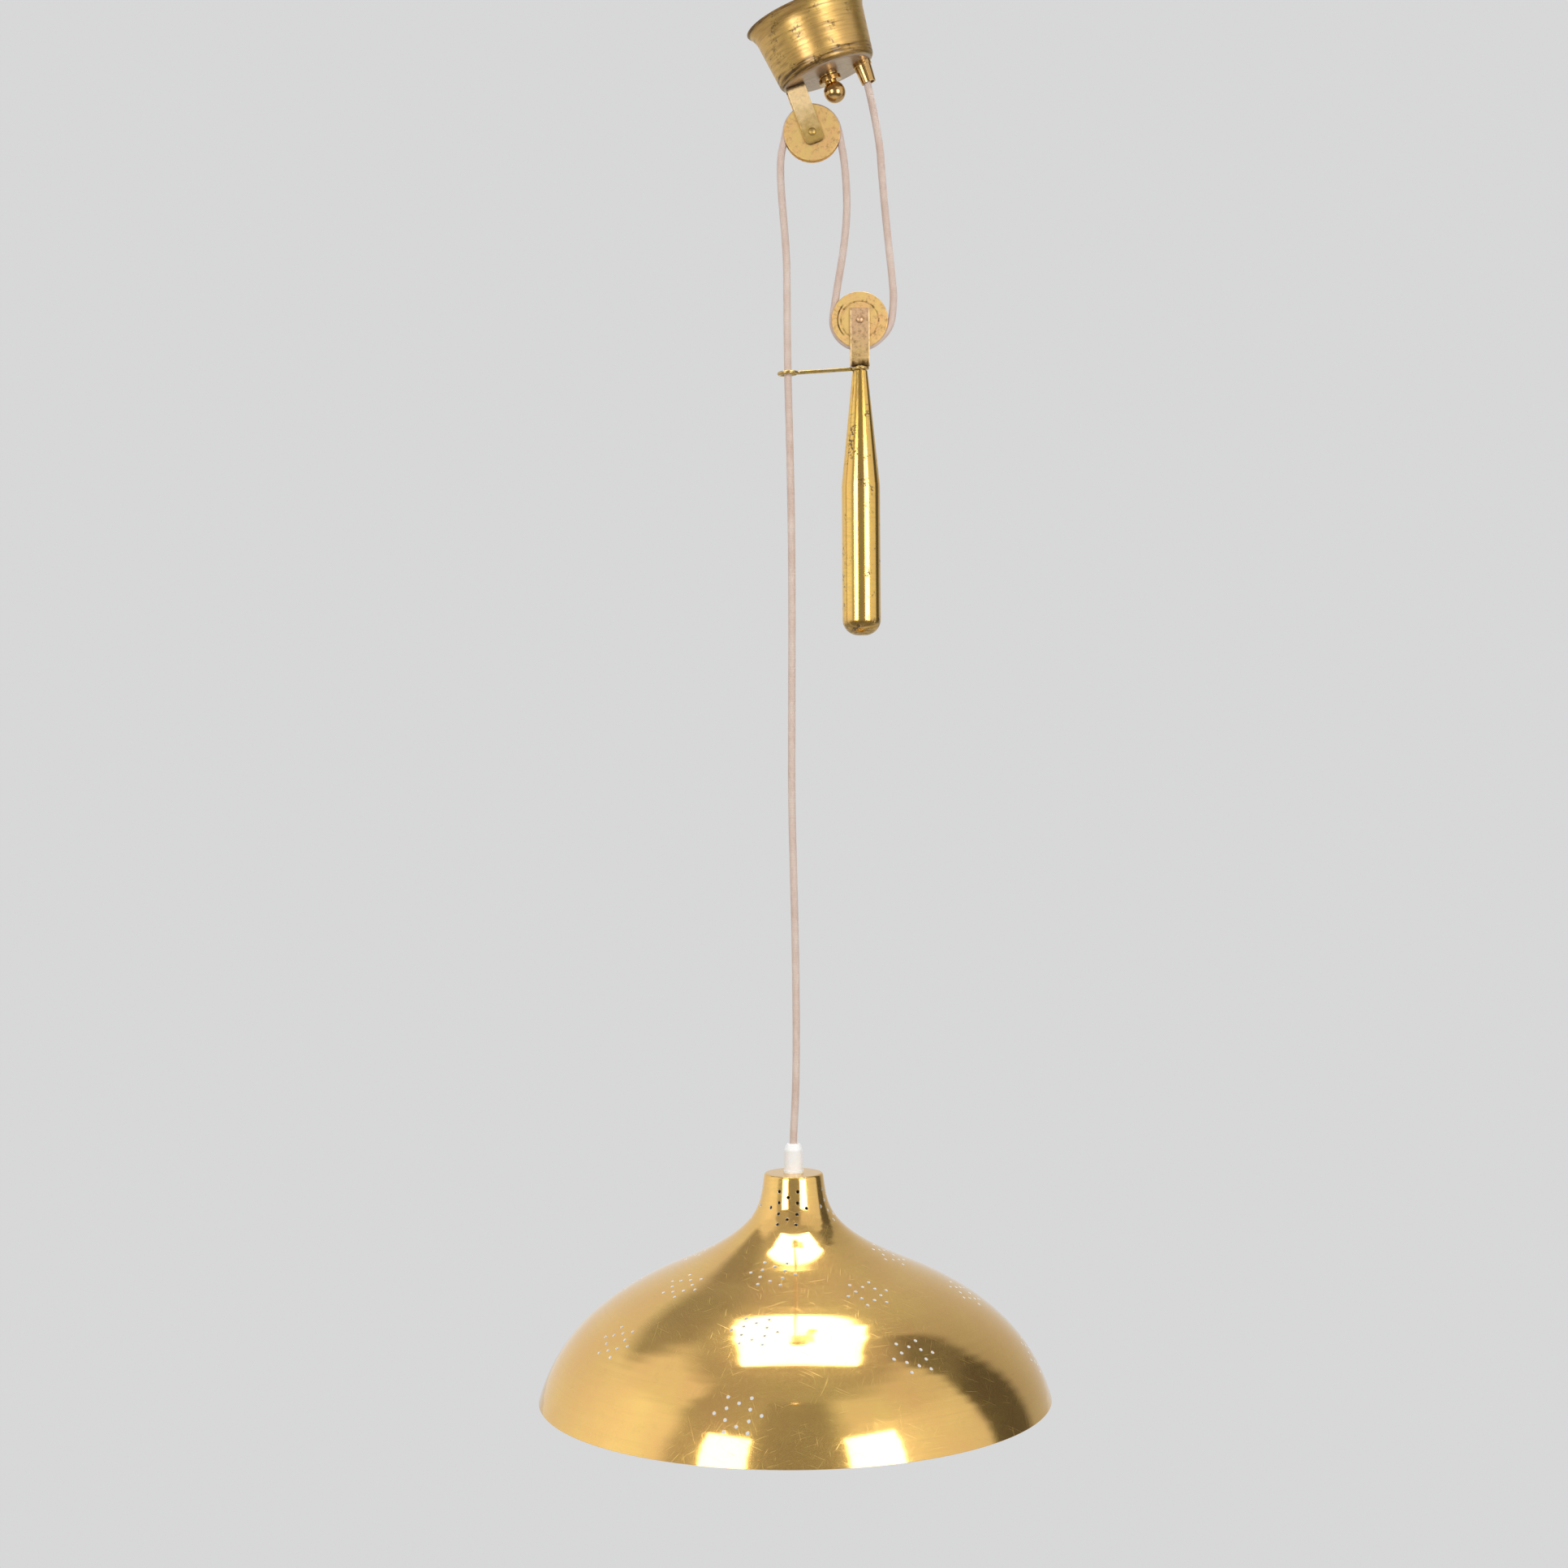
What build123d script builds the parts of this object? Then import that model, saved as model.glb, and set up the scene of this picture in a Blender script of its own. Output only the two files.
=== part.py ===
from build123d import *
import os
from math import acos, asin, atan2, cos, degrees, hypot, pi, radians, sin, sqrt, tan

# Rise-and-fall pendant light, in millimetres. The origin is the centre of the hanger's eye,
# +X runs from the lamp towards the counterweight, +Y away from the viewer and +Z up.

# Fits shared by the whole assembly
PIN_CLEARANCE = 0.05
CORD_CLEARANCE = 0.3
BOLT_CLEARANCE = 0.25

# How far a cutting bar runs past the face it opens
CUT_PAST = 1.0

# Cord, the share of a run its corner arcs may take, and where the flex is divided below the gland
CORD_D = 5.5
ARC_SHARE = 0.45
GLAND_JOIN = 10.0

# Bends of the flex's route: the lamp's side by its drop below the canopy pulley's axle, and the two
# falls by their place out from and above the axle that each is measured from
LAMP_BULGE = 5.5
LAMP_BULGE_DROP = 23.0
LAMP_PLUMB_DROP = 88.0
LAMP_JOIN_DROP = 113.0
FALL_HIGH = (24.8, -27.0)
FALL_LOW = (25.7, -69.0)
RISE_BENDS = [(25.1, 11.8), (24.7, 27.0), (20.3, 69.0), (16.9, 107.0), (16.1, 131.0)]

# Canopy cup, which leans on its hook
CANOPY_TILT = 20.0
CUP_FLOOR_R = 36.0
CUP_HEIGHT = 47.5
CUP_WALL = 1.2
CUP_WALL_LEAN = 7.8
CUP_CORNER_R = 5.0
CUP_FLARE_RISE = 10.5
CUP_FLARE_R = 18.5

# Eye bolt that the ceiling hook holds, and its nut
EYE_HOLE_R = 6.0
EYE_RIM = 5.0
EYE_THICK = 4.0
EYE_HEIGHT = 36.0
SHANK_D = 6.0
SHANK_NECK_R = 4.5
SHANK_NECK_H = 3.0
HANGER_NUT_FLATS = 10.0
HANGER_NUT_H = 5.0

# Finial under the cup
COLLAR_FLANGE_R = 7.3
COLLAR_FLANGE_H = 1.5
COLLAR_WAIST_R = 6.2
COLLAR_WAIST_H = 0.7
COLLAR_RING_R = 8.5
COLLAR_RING_H = 3.6
COLLAR_FOOT_R = 4.4
COLLAR_H = 7.0
COLLAR_EDGE_R = 0.6
BALL_R = 8.0
BALL_THREAD_DEPTH = 6.0

# Gland where the cord leaves the cup
GLAND_OFFSET = 26.0
GLAND_FLANGE_R = 7.0
GLAND_FLANGE_H = 3.0
GLAND_TOP_R = 6.4
GLAND_MOUTH_R = 5.4
GLAND_LENGTH = 16.0
GLAND_MOUTH_WALL = 1.0
GLAND_BORE_DEPTH = 7.0
GLAND_EDGE_R = 0.4
SPIGOT_R = 4.0
LOCKNUT_FLATS = 9.0
LOCKNUT_H = 3.5
LOCKNUT_TURN = 30.0

# Terminal block on the gland's inner nut
BLOCK_THICK = 12.0
BLOCK_WIDTH = 18.0
BLOCK_H = 16.0
BLOCK_ENTRY_DEPTH = 5.0
BLOCK_EDGE_R = 1.0
BLOCK_SCREW_R = 2.2
BLOCK_SCREW_H = 1.4
BLOCK_SCREW_PITCH = 9.0

# Pulleys, alike but for the ring turned in the faces of the counterweight's
PULLEY_R = 20.8
PULLEY_W = 8.0
PITCH_R = 19.25
PULLEY_RING_R = 13.2
PULLEY_RING_W = 1.0
PULLEY_RING_DEPTH = 0.5
PULLEY_EDGE_R = 0.4
HUB_R = 5.0
SIDE_GAP = 0.5
HUB_GAP = 0.1
AXLE_R = 2.0
RIVET_R = 2.9
RIVET_H = 1.1

# Strap yokes
STRAP_W = 14.2
STRAP_T = 1.5
STRAP_BEND_R = 1.0
STRAP_END = 8.6
CANOPY_STRAP_END_R = 4.0
WEIGHT_STRAP_END_R = 1.5
YOKE_OFFSET = 26.2
CANOPY_YOKE_DROP = 36.3
YOKE_SCREW_R = 2.0
YOKE_SCREW_HEAD_R = 3.2
YOKE_SCREW_HEAD_H = 2.4
YOKE_NUT_FLATS = 7.0
YOKE_NUT_H = 3.2
YOKE_SCREW_TIP = 1.0

# Counterweight
WEIGHT_DROP = 137.9
WEIGHT_YOKE_DROP = 33.5
GUIDE_GAP = 3.7
WEIGHT_LENGTH = 195.3
WEIGHT_TAPER = 84.3
WEIGHT_R = 14.25
WEIGHT_NECK_R = 5.6
WEIGHT_WALL = 1.0
WEIGHT_FOOT_R = 12.0
WEIGHT_SHOULDER_R = 60.0
WEIGHT_NECK_PLUG = 4.0
STUD_R = 4.0
STUD_TOP_R = 2.0
STUD_DEPTH = 18.0
STUD_TIP = 0.8
WEIGHT_NUT_FLATS = 6.8
WEIGHT_NUT_H = 3.5

# Wire guide from the counterweight's stud to the lamp's cord
GUIDE_REACH = 53.4
GUIDE_WIRE_R = 1.4
GUIDE_RING_R = 6.4
GUIDE_NECK_R = 3.0
GUIDE_DROOP = 3.4
GUIDE_SWEEP = 315.0

# Shade: a spun dome drawn up into a narrow neck
LAMP_DROP = 768.7
SHADE_RIM_R = 190.0
SHADE_RIM_LEAN = 16.4
SHADE_RIM_PULL = 42.1
SHADE_TURN_R = 91.3
SHADE_TURN_H = 95.5
SHADE_TURN_SLOPE = 23.3
SHADE_DOME_PULL = 63.7
SHADE_NECK_PULL = 74.3
SHADE_NECK_R = 22.1
SHADE_NECK_LEAN = 8.5
SHADE_NECK_RISE = 23.3
SHADE_HEIGHT = 166.0
SHADE_TOP_EDGE = 2.0
SHADE_EDGE_R = 1.8
SHADE_WALL = 0.6

# Cord grip, threaded tube, washer and nut on the shade's top
GRIP_H = 21.7
GRIP_R = 6.9
GRIP_FLANGE_R = 7.4
GRIP_FLANGE_H = 2.0
GRIP_TOP_R = 5.0
GRIP_TAPER = 4.5
GRIP_EDGE_R = 1.2
NIPPLE_R = 5.0
NIPPLE_BORE_R = 3.2
NIPPLE_IN_GRIP = 9.0
WASHER_R = 10.0
WASHER_T = 1.0
NIPPLE_NUT_FLATS = 14.0
NIPPLE_NUT_H = 4.0

# Lamp holder
HOLDER_R = 18.5
HOLDER_WALL = 2.0
HOLDER_CAP_TOP_R = 10.0
HOLDER_CAP_SLOPE = 9.5
HOLDER_CAP_H = 20.0
HOLDER_CAP_BEND_R = 5.0
HOLDER_BODY_H = 30.0
HOLDER_BODY_WALL = 3.8
HOLDER_LIP_R = 19.6
HOLDER_LIP_H = 3.0
INSERT_H = 7.0
NIPPLE_IN_CAP = 8.0
SHELL_GAP = 0.25
SHELL_WALL = 0.8
SHELL_H = 26.0
CONTACT_R = 3.0
CONTACT_H = 2.0

# Bulb
BULB_CAP_GAP = 0.3
BULB_CAP_WALL = 0.6
BULB_CAP_H = 24.5
BULB_CAP_TOP_R = 6.0
BULB_CAP_SLOPE = 4.0
BULB_TIP_R = 4.0
BULB_TIP_H = 2.5
BULB_R = 30.0
BULB_LENGTH = 80.0
BULB_WALL = 1.0
BULB_NECK_PULL = 17.0
BULB_SHOULDER_PULL = 25.0

CORD_R = CORD_D / 2


def turned(*outline):
    """A solid of revolution about Z from lines and curves drawn as (radius, height)."""
    edges = [edge for curve in outline for edge in curve.edges()]
    return revolve(Plane.XZ * make_face(edges), Axis.Z)


def bar(radius, low, high):
    """A round bar on Z between two heights."""
    return Pos(0, 0, (low + high) / 2) * Cylinder(radius, high - low)


def hex_nut(flats, low, height, hole_r):
    """A hexagonal nut on Z with its hole."""
    blank = extrude(RegularPolygon(flats / 2, 6, major_radius=False), amount=height)
    return Pos(0, 0, low) * blank - bar(hole_r, low - CUT_PAST, low + height + CUT_PAST)


# Canopy group, drawn upright on the cup's axis with its underside at height zero


def in_canopy(shape):
    """Places a piece of the leaning canopy, with the hanger's eye at the origin."""
    return Rot(0, -CANOPY_TILT, 0) * Pos(0, 0, -EYE_HEIGHT) * shape


def canopy_point(x, z):
    """Where a point of the upright canopy lies once the canopy leans."""
    lean = radians(CANOPY_TILT)
    up = z - EYE_HEIGHT
    return x * cos(lean) - up * sin(lean), x * sin(lean) + up * cos(lean)


def cup_form(inset, top):
    """The cup's form, or the space inside it once inset by the wall."""
    lean = radians(CUP_WALL_LEAN)
    flare_start = CUP_HEIGHT - CUP_FLARE_RISE
    wall_r = CUP_FLOOR_R + flare_start * tan(lean)
    centre = (wall_r + CUP_FLARE_R * cos(lean), flare_start - CUP_FLARE_R * sin(lean))
    flare_r = CUP_FLARE_R + inset
    first = 180 - CUP_WALL_LEAN
    last = 180 - degrees(asin((top - centre[1]) / flare_r))
    flare = CenterArc(centre, flare_r, first, last - first)
    floor_r = CUP_FLOOR_R + inset * tan(lean) - inset / cos(lean)
    start = flare.position_at(0)
    wall = FilletPolyline((0, inset), (floor_r, inset), (start.X, start.Y), radius=CUP_CORNER_R - inset)
    end = flare.position_at(1)
    return turned(wall, flare, Polyline((end.X, end.Y), (0, top), (0, inset)))


gland_hole_r = SPIGOT_R + PIN_CLEARANCE
yoke_hole_r = YOKE_SCREW_R + PIN_CLEARANCE
shank_hole_r = SHANK_D / 2 + PIN_CLEARANCE
canopy_cup = cup_form(0, CUP_HEIGHT) - cup_form(CUP_WALL, CUP_HEIGHT + CUP_WALL)
canopy_cup -= bar(shank_hole_r, -CUT_PAST, CUP_WALL + CUT_PAST)
canopy_cup -= Pos(GLAND_OFFSET, 0, 0) * bar(gland_hole_r, -CUT_PAST, CUP_WALL + CUT_PAST)
canopy_cup -= Pos(-YOKE_OFFSET, 0, 0) * bar(yoke_hole_r, -CUT_PAST, CUP_WALL + CUT_PAST)

eye_r = EYE_HOLE_R + EYE_RIM
eye_foot = EYE_HEIGHT - sqrt(eye_r**2 - SHANK_NECK_R**2)
shank_tip = -COLLAR_H - BALL_THREAD_DEPTH
hanger_eye = Pos(0, 0, EYE_HEIGHT) * Rot(90, 0, 0) * Cylinder(eye_r, EYE_THICK)
hanger_eye += bar(SHANK_D / 2, shank_tip, EYE_HEIGHT - EYE_HOLE_R - EYE_RIM / 2)
hanger_eye += bar(SHANK_NECK_R, eye_foot - SHANK_NECK_H, eye_foot)
hanger_eye -= Pos(0, 0, EYE_HEIGHT) * Rot(90, 0, 0) * Cylinder(EYE_HOLE_R, 2 * eye_r)
hanger_nut = hex_nut(HANGER_NUT_FLATS, CUP_WALL, HANGER_NUT_H, shank_hole_r)

waist_low = -COLLAR_FLANGE_H - COLLAR_WAIST_H
ring_low = waist_low - COLLAR_RING_H
finial_collar = turned(
    Polyline(
        (shank_hole_r, 0), (COLLAR_FLANGE_R, 0), (COLLAR_FLANGE_R, -COLLAR_FLANGE_H),
        (COLLAR_WAIST_R, -COLLAR_FLANGE_H), (COLLAR_WAIST_R, waist_low), (COLLAR_RING_R, waist_low),
        (COLLAR_RING_R, ring_low), (COLLAR_FOOT_R, ring_low), (COLLAR_FOOT_R, -COLLAR_H),
        (shank_hole_r, -COLLAR_H), close=True,
    )
)
collar_rims = [
    edge
    for edge in finial_collar.edges().filter_by(GeomType.CIRCLE)
    if edge.radius > COLLAR_WAIST_R + COLLAR_EDGE_R and edge.center().Z < -COLLAR_EDGE_R
]
finial_collar = fillet(collar_rims, COLLAR_EDGE_R)

ball_centre = -COLLAR_H - sqrt(BALL_R**2 - COLLAR_FOOT_R**2)
finial_ball = Pos(0, 0, ball_centre) * Sphere(BALL_R)
finial_ball -= bar(2 * BALL_R, -COLLAR_H, ball_centre + 2 * BALL_R)
finial_ball -= bar(shank_hole_r, shank_tip, 0)

cord_hole_r = CORD_R + CORD_CLEARANCE
locknut_top = CUP_WALL + LOCKNUT_H
gland_body = turned(
    Polyline(
        (cord_hole_r, locknut_top), (SPIGOT_R, locknut_top), (SPIGOT_R, 0), (GLAND_FLANGE_R, 0),
        (GLAND_FLANGE_R, -GLAND_FLANGE_H), (GLAND_TOP_R, -GLAND_FLANGE_H), (GLAND_MOUTH_R, -GLAND_LENGTH),
        (GLAND_MOUTH_R - GLAND_MOUTH_WALL, -GLAND_LENGTH), (cord_hole_r, -GLAND_BORE_DEPTH), close=True,
    )
)
flange_rims = [edge for edge in gland_body.edges().filter_by(GeomType.CIRCLE) if edge.radius > GLAND_TOP_R]
gland_body = fillet([rim for rim in flange_rims if rim.center().Z < -GLAND_EDGE_R], GLAND_EDGE_R)
gland_locknut = Rot(0, 0, LOCKNUT_TURN) * hex_nut(LOCKNUT_FLATS, CUP_WALL, LOCKNUT_H, gland_hole_r)

terminal_block = fillet(Box(BLOCK_THICK, BLOCK_WIDTH, BLOCK_H).edges().filter_by(Axis.Z), BLOCK_EDGE_R)
terminal_block = Pos(0, 0, locknut_top + BLOCK_H / 2) * terminal_block
terminal_block -= bar(cord_hole_r, locknut_top - CUT_PAST, locknut_top + BLOCK_ENTRY_DEPTH)
block_top = locknut_top + BLOCK_H
terminal_screws = [
    Pos(0, side * BLOCK_SCREW_PITCH / 2, 0) * bar(BLOCK_SCREW_R, block_top, block_top + BLOCK_SCREW_H)
    for side in (-1, 1)
]


# Strap yokes, axles and pulleys, drawn round the axle


def strap_yoke(drop, hole_r, end_r):
    """A strap bent to a U round the axle, with its drilled base at a drop above it."""
    inner = PULLEY_W / 2 + SIDE_GAP
    outer = inner + STRAP_T
    section = make_face(
        Polyline(
            (-outer, -STRAP_END), (-outer, drop), (outer, drop), (outer, -STRAP_END), (inner, -STRAP_END),
            (inner, drop - STRAP_T), (-inner, drop - STRAP_T), (-inner, -STRAP_END), close=True,
        )
    )
    section = fillet(section.vertices().sort_by(Axis.Y)[-2:], STRAP_BEND_R + STRAP_T)
    bends = [
        vertex
        for vertex in section.vertices()
        if abs(abs(vertex.X) - inner) < PIN_CLEARANCE and vertex.Y > drop - 2 * STRAP_T
    ]
    section = fillet(bends, STRAP_BEND_R)
    yoke = extrude(Plane.YZ * section, amount=STRAP_W / 2, both=True)
    corners = yoke.edges().filter_by(Axis.Y).group_by(Axis.Z)[0]
    yoke = fillet(corners, end_r)
    yoke -= Rot(90, 0, 0) * Cylinder(AXLE_R + PIN_CLEARANCE, 4 * outer)
    return yoke - bar(hole_r, drop - 2 * STRAP_T, drop + STRAP_T)


def axle():
    """A pin across the yoke, with a domed rivet head at each end."""
    end = PULLEY_W / 2 + SIDE_GAP + STRAP_T
    head_r = (RIVET_R**2 + RIVET_H**2) / (2 * RIVET_H)
    head = Pos(0, 0, end + RIVET_H - head_r) * Sphere(head_r)
    head &= bar(2 * RIVET_R, end, end + RIVET_H)
    pin = bar(AXLE_R, -end, end) + head + Rot(180, 0, 0) * head
    return Rot(90, 0, 0) * pin


def pulley(ringed):
    """A turned wheel with a round-bottomed groove and a hub, and with a ring cut in each face or plain."""
    groove_r = CORD_R + CORD_CLEARANCE
    half = PULLEY_W / 2
    hub = half + SIDE_GAP - HUB_GAP
    wheel = turned(
        Polyline(
            (PITCH_R, groove_r), (PULLEY_R, groove_r), (PULLEY_R, half), (HUB_R, half), (HUB_R, hub),
            (AXLE_R + PIN_CLEARANCE, hub), (AXLE_R + PIN_CLEARANCE, -hub), (HUB_R, -hub), (HUB_R, -half),
            (PULLEY_R, -half), (PULLEY_R, -groove_r), (PITCH_R, -groove_r),
        ),
        CenterArc((PITCH_R, 0), groove_r, 90, 180),
    )
    if ringed:
        ring = bar(PULLEY_RING_R + PULLEY_RING_W / 2, half - PULLEY_RING_DEPTH, half + SIDE_GAP)
        ring -= bar(PULLEY_RING_R - PULLEY_RING_W / 2, half - PULLEY_RING_DEPTH, half + SIDE_GAP)
        wheel = wheel - ring - Rot(180, 0, 0) * ring
    rims = [
        edge
        for edge in wheel.edges().filter_by(GeomType.CIRCLE)
        if abs(edge.radius - PULLEY_R) < PIN_CLEARANCE and abs(edge.center().Z) > groove_r + PULLEY_EDGE_R
    ]
    return Rot(90, 0, 0) * fillet(rims, PULLEY_EDGE_R)


canopy_yoke = strap_yoke(CANOPY_YOKE_DROP, yoke_hole_r, CANOPY_STRAP_END_R)
canopy_yoke = Pos(-YOKE_OFFSET, 0, -CANOPY_YOKE_DROP) * canopy_yoke
canopy_axle = Pos(-YOKE_OFFSET, 0, -CANOPY_YOKE_DROP) * axle()
screw_top = CUP_WALL + YOKE_NUT_H + YOKE_SCREW_TIP
yoke_screw = bar(YOKE_SCREW_R, -STRAP_T - YOKE_SCREW_HEAD_H / 2, screw_top)
yoke_screw += bar(YOKE_SCREW_HEAD_R, -STRAP_T - YOKE_SCREW_HEAD_H, -STRAP_T)
yoke_screw = Pos(-YOKE_OFFSET, 0, 0) * yoke_screw
yoke_nut = Pos(-YOKE_OFFSET, 0, 0) * hex_nut(YOKE_NUT_FLATS, CUP_WALL, YOKE_NUT_H, yoke_hole_r)

pulley_x, pulley_z = canopy_point(-YOKE_OFFSET, -CANOPY_YOKE_DROP)
canopy_pulley = Pos(pulley_x, 0, pulley_z) * pulley(ringed=False)

# Counterweight group, drawn on its own axis with the axle at height zero
lamp_x = pulley_x - PITCH_R
weight_x = lamp_x + GUIDE_REACH
weight_z = pulley_z - WEIGHT_DROP
weight_pulley = Pos(weight_x, 0, weight_z) * pulley(ringed=True)
weight_top = -WEIGHT_YOKE_DROP - GUIDE_GAP
weight_foot = weight_top - WEIGHT_LENGTH


def at_weight(shape):
    """Places a piece of the counterweight."""
    return Pos(weight_x, 0, weight_z) * shape


def weight_form(inset, top):
    """The bottle form, or the space inside it once inset by the wall."""
    shoulder = weight_top - WEIGHT_TAPER
    slope = (WEIGHT_R - WEIGHT_NECK_R) / WEIGHT_TAPER
    across = inset * sqrt(1 + slope**2)
    neck_r = WEIGHT_NECK_R + slope * (weight_top - top) - across
    shoulder_low = shoulder - (across - inset) / slope
    outline = FilletPolyline(
        (0, weight_foot + inset), (WEIGHT_R - inset, weight_foot + inset), (WEIGHT_R - inset, shoulder_low),
        (neck_r, top), radius=[WEIGHT_FOOT_R - inset, WEIGHT_SHOULDER_R],
    )
    return turned(outline, Polyline((neck_r, top), (0, top), (0, weight_foot + inset)))


stud_hole_r = STUD_R + PIN_CLEARANCE
cavity_top = weight_top - WEIGHT_NECK_PLUG
stud_foot = cavity_top - STUD_DEPTH
base_top = -WEIGHT_YOKE_DROP + STRAP_T
weight_shell = weight_form(0, weight_top) - weight_form(WEIGHT_WALL, cavity_top)
weight_shell -= bar(stud_hole_r, cavity_top - CUT_PAST, weight_top + CUT_PAST)
core_inset = WEIGHT_WALL + PIN_CLEARANCE
weight_core = Pos(0, 0, -PIN_CLEARANCE) * weight_form(core_inset, cavity_top - PIN_CLEARANCE)
weight_core -= bar(stud_hole_r, stud_foot, cavity_top + CUT_PAST)
weight_stud = bar(STUD_R, stud_foot, -WEIGHT_YOKE_DROP)
weight_stud += bar(STUD_TOP_R, -WEIGHT_YOKE_DROP, base_top + WEIGHT_NUT_H + STUD_TIP)
weight_nut = hex_nut(WEIGHT_NUT_FLATS, base_top, WEIGHT_NUT_H, STUD_TOP_R + PIN_CLEARANCE)
weight_yoke = strap_yoke(WEIGHT_YOKE_DROP, STUD_TOP_R + PIN_CLEARANCE, WEIGHT_STRAP_END_R)
weight_yoke = Rot(180, 0, 0) * weight_yoke


def guide_form():
    """A bent wire: an eye sprung onto the stud, a straight arm and a ring for the cord."""
    droop = radians(GUIDE_DROOP)
    eye_wire_r = STUD_R + GUIDE_WIRE_R
    reach = GUIDE_REACH / cos(droop)
    eye_neck = sqrt(eye_wire_r**2 + 2 * eye_wire_r * GUIDE_NECK_R)
    ring_neck = sqrt(GUIDE_RING_R**2 + 2 * GUIDE_RING_R * GUIDE_NECK_R)
    eye_angle = degrees(atan2(GUIDE_NECK_R, eye_neck))
    ring_angle = degrees(atan2(GUIDE_NECK_R, ring_neck))
    bends = [
        CenterArc((-reach, 0), GUIDE_RING_R, -ring_angle - GUIDE_SWEEP, GUIDE_SWEEP),
        CenterArc((-reach + ring_neck, -GUIDE_NECK_R), GUIDE_NECK_R, 180 - ring_angle, ring_angle - 90),
        Line((-reach + ring_neck, 0), (-eye_neck, 0)),
        CenterArc((-eye_neck, GUIDE_NECK_R), GUIDE_NECK_R, -90, 90 - eye_angle),
        CenterArc((0, 0), eye_wire_r, 180 - eye_angle, -GUIDE_SWEEP),
    ]
    path = Wire([edge for bend in bends for edge in bend.edges()])
    arm_way, arm_up = (cos(droop), 0, sin(droop)), (-sin(droop), 0, cos(droop))
    path = Plane((0, 0, weight_top + GUIDE_GAP / 2), arm_way, arm_up) * path
    section = Plane(path.position_at(0), z_dir=path.tangent_at(0)) * Circle(GUIDE_WIRE_R)
    return sweep(section, path=path)


guide_wire = guide_form()

# Lamp group, drawn on its own axis with the shade's flat top at height zero
lamp_z = pulley_z - LAMP_DROP


def at_lamp(shape):
    """Places a piece of the lamp."""
    return Pos(lamp_x, 0, lamp_z) * shape


def shade_curve(inset):
    """One side of the shade's wall from the rim to the hole in its top, as lines and curves."""
    rim_lean = radians(SHADE_RIM_LEAN)
    slope = radians(SHADE_TURN_SLOPE)
    neck_lean = radians(SHADE_NECK_LEAN)
    hole_r = NIPPLE_R + BOLT_CLEARANCE
    rim = Vector(SHADE_RIM_R - inset / cos(rim_lean), -SHADE_HEIGHT)
    rim_way = Vector(-sin(rim_lean), cos(rim_lean))
    turn_way = Vector(-cos(slope), sin(slope))
    turn = Vector(SHADE_TURN_R, SHADE_TURN_H - SHADE_HEIGHT) + Vector(-sin(slope), -cos(slope)) * inset
    neck_way = Vector(-sin(neck_lean), cos(neck_lean))
    neck = Vector(SHADE_NECK_R, -SHADE_TOP_EDGE) + Vector(-cos(neck_lean), -sin(neck_lean)) * inset
    corner = neck + neck_way * ((-inset - neck.Y) / neck_way.Y)
    dome = Bezier(rim, rim + rim_way * SHADE_RIM_PULL, turn - turn_way * SHADE_DOME_PULL, turn)
    throat = Bezier(turn, turn + turn_way * SHADE_NECK_PULL, neck - neck_way * SHADE_NECK_RISE, neck)
    top = FilletPolyline(neck, corner, (hole_r, -inset), radius=SHADE_EDGE_R - inset)
    return [dome, throat, top]


shade_outside = shade_curve(0)
shade_inside = shade_curve(SHADE_WALL)
shade = turned(
    *shade_outside,
    *shade_inside,
    Line(shade_outside[0].position_at(0), shade_inside[0].position_at(0)),
    Line(shade_outside[-1].position_at(1), shade_inside[-1].position_at(1)),
)

nipple_hole_r = NIPPLE_R + PIN_CLEARANCE
grip_hole_r = CORD_R + PIN_CLEARANCE
cord_grip = turned(
    Line((nipple_hole_r, 0), (GRIP_FLANGE_R, 0)),
    Line((GRIP_FLANGE_R, 0), (GRIP_FLANGE_R, GRIP_FLANGE_H)),
    Line((GRIP_FLANGE_R, GRIP_FLANGE_H), (GRIP_R, GRIP_FLANGE_H)),
    FilletPolyline(
        (GRIP_R, GRIP_FLANGE_H), (GRIP_R, GRIP_H - GRIP_TAPER), (GRIP_TOP_R, GRIP_H), (grip_hole_r, GRIP_H),
        radius=[GRIP_TAPER, GRIP_EDGE_R],
    ),
    Polyline(
        (grip_hole_r, GRIP_H), (grip_hole_r, NIPPLE_IN_GRIP), (nipple_hole_r, NIPPLE_IN_GRIP),
        (nipple_hole_r, 0),
    ),
)
washer_low = -SHADE_WALL - WASHER_T
cap_top = washer_low - NIPPLE_NUT_H
nipple_low = cap_top - NIPPLE_IN_CAP
grip_nipple = bar(NIPPLE_R, nipple_low, NIPPLE_IN_GRIP)
grip_nipple -= bar(NIPPLE_BORE_R, nipple_low - CUT_PAST, NIPPLE_IN_GRIP + CUT_PAST)
nipple_washer = bar(WASHER_R, washer_low, -SHADE_WALL)
nipple_washer -= bar(nipple_hole_r, washer_low - CUT_PAST, CUT_PAST)
nipple_nut = hex_nut(NIPPLE_NUT_FLATS, cap_top, NIPPLE_NUT_H, nipple_hole_r)

cap_low = cap_top - HOLDER_CAP_H
body_low = cap_low - HOLDER_BODY_H
insert_top = cap_low + INSERT_H


def holder_cap_form(inset):
    """The holder's cap, or the space inside it once inset by the wall."""
    outline = FilletPolyline(
        (0, cap_top - inset), (HOLDER_CAP_TOP_R, cap_top - inset),
        (HOLDER_R - inset, cap_top - HOLDER_CAP_SLOPE - inset / 2), (HOLDER_R - inset, cap_low),
        radius=HOLDER_CAP_BEND_R,
    )
    return turned(outline, Polyline((HOLDER_R - inset, cap_low), (0, cap_low), (0, cap_top - inset)))


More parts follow.
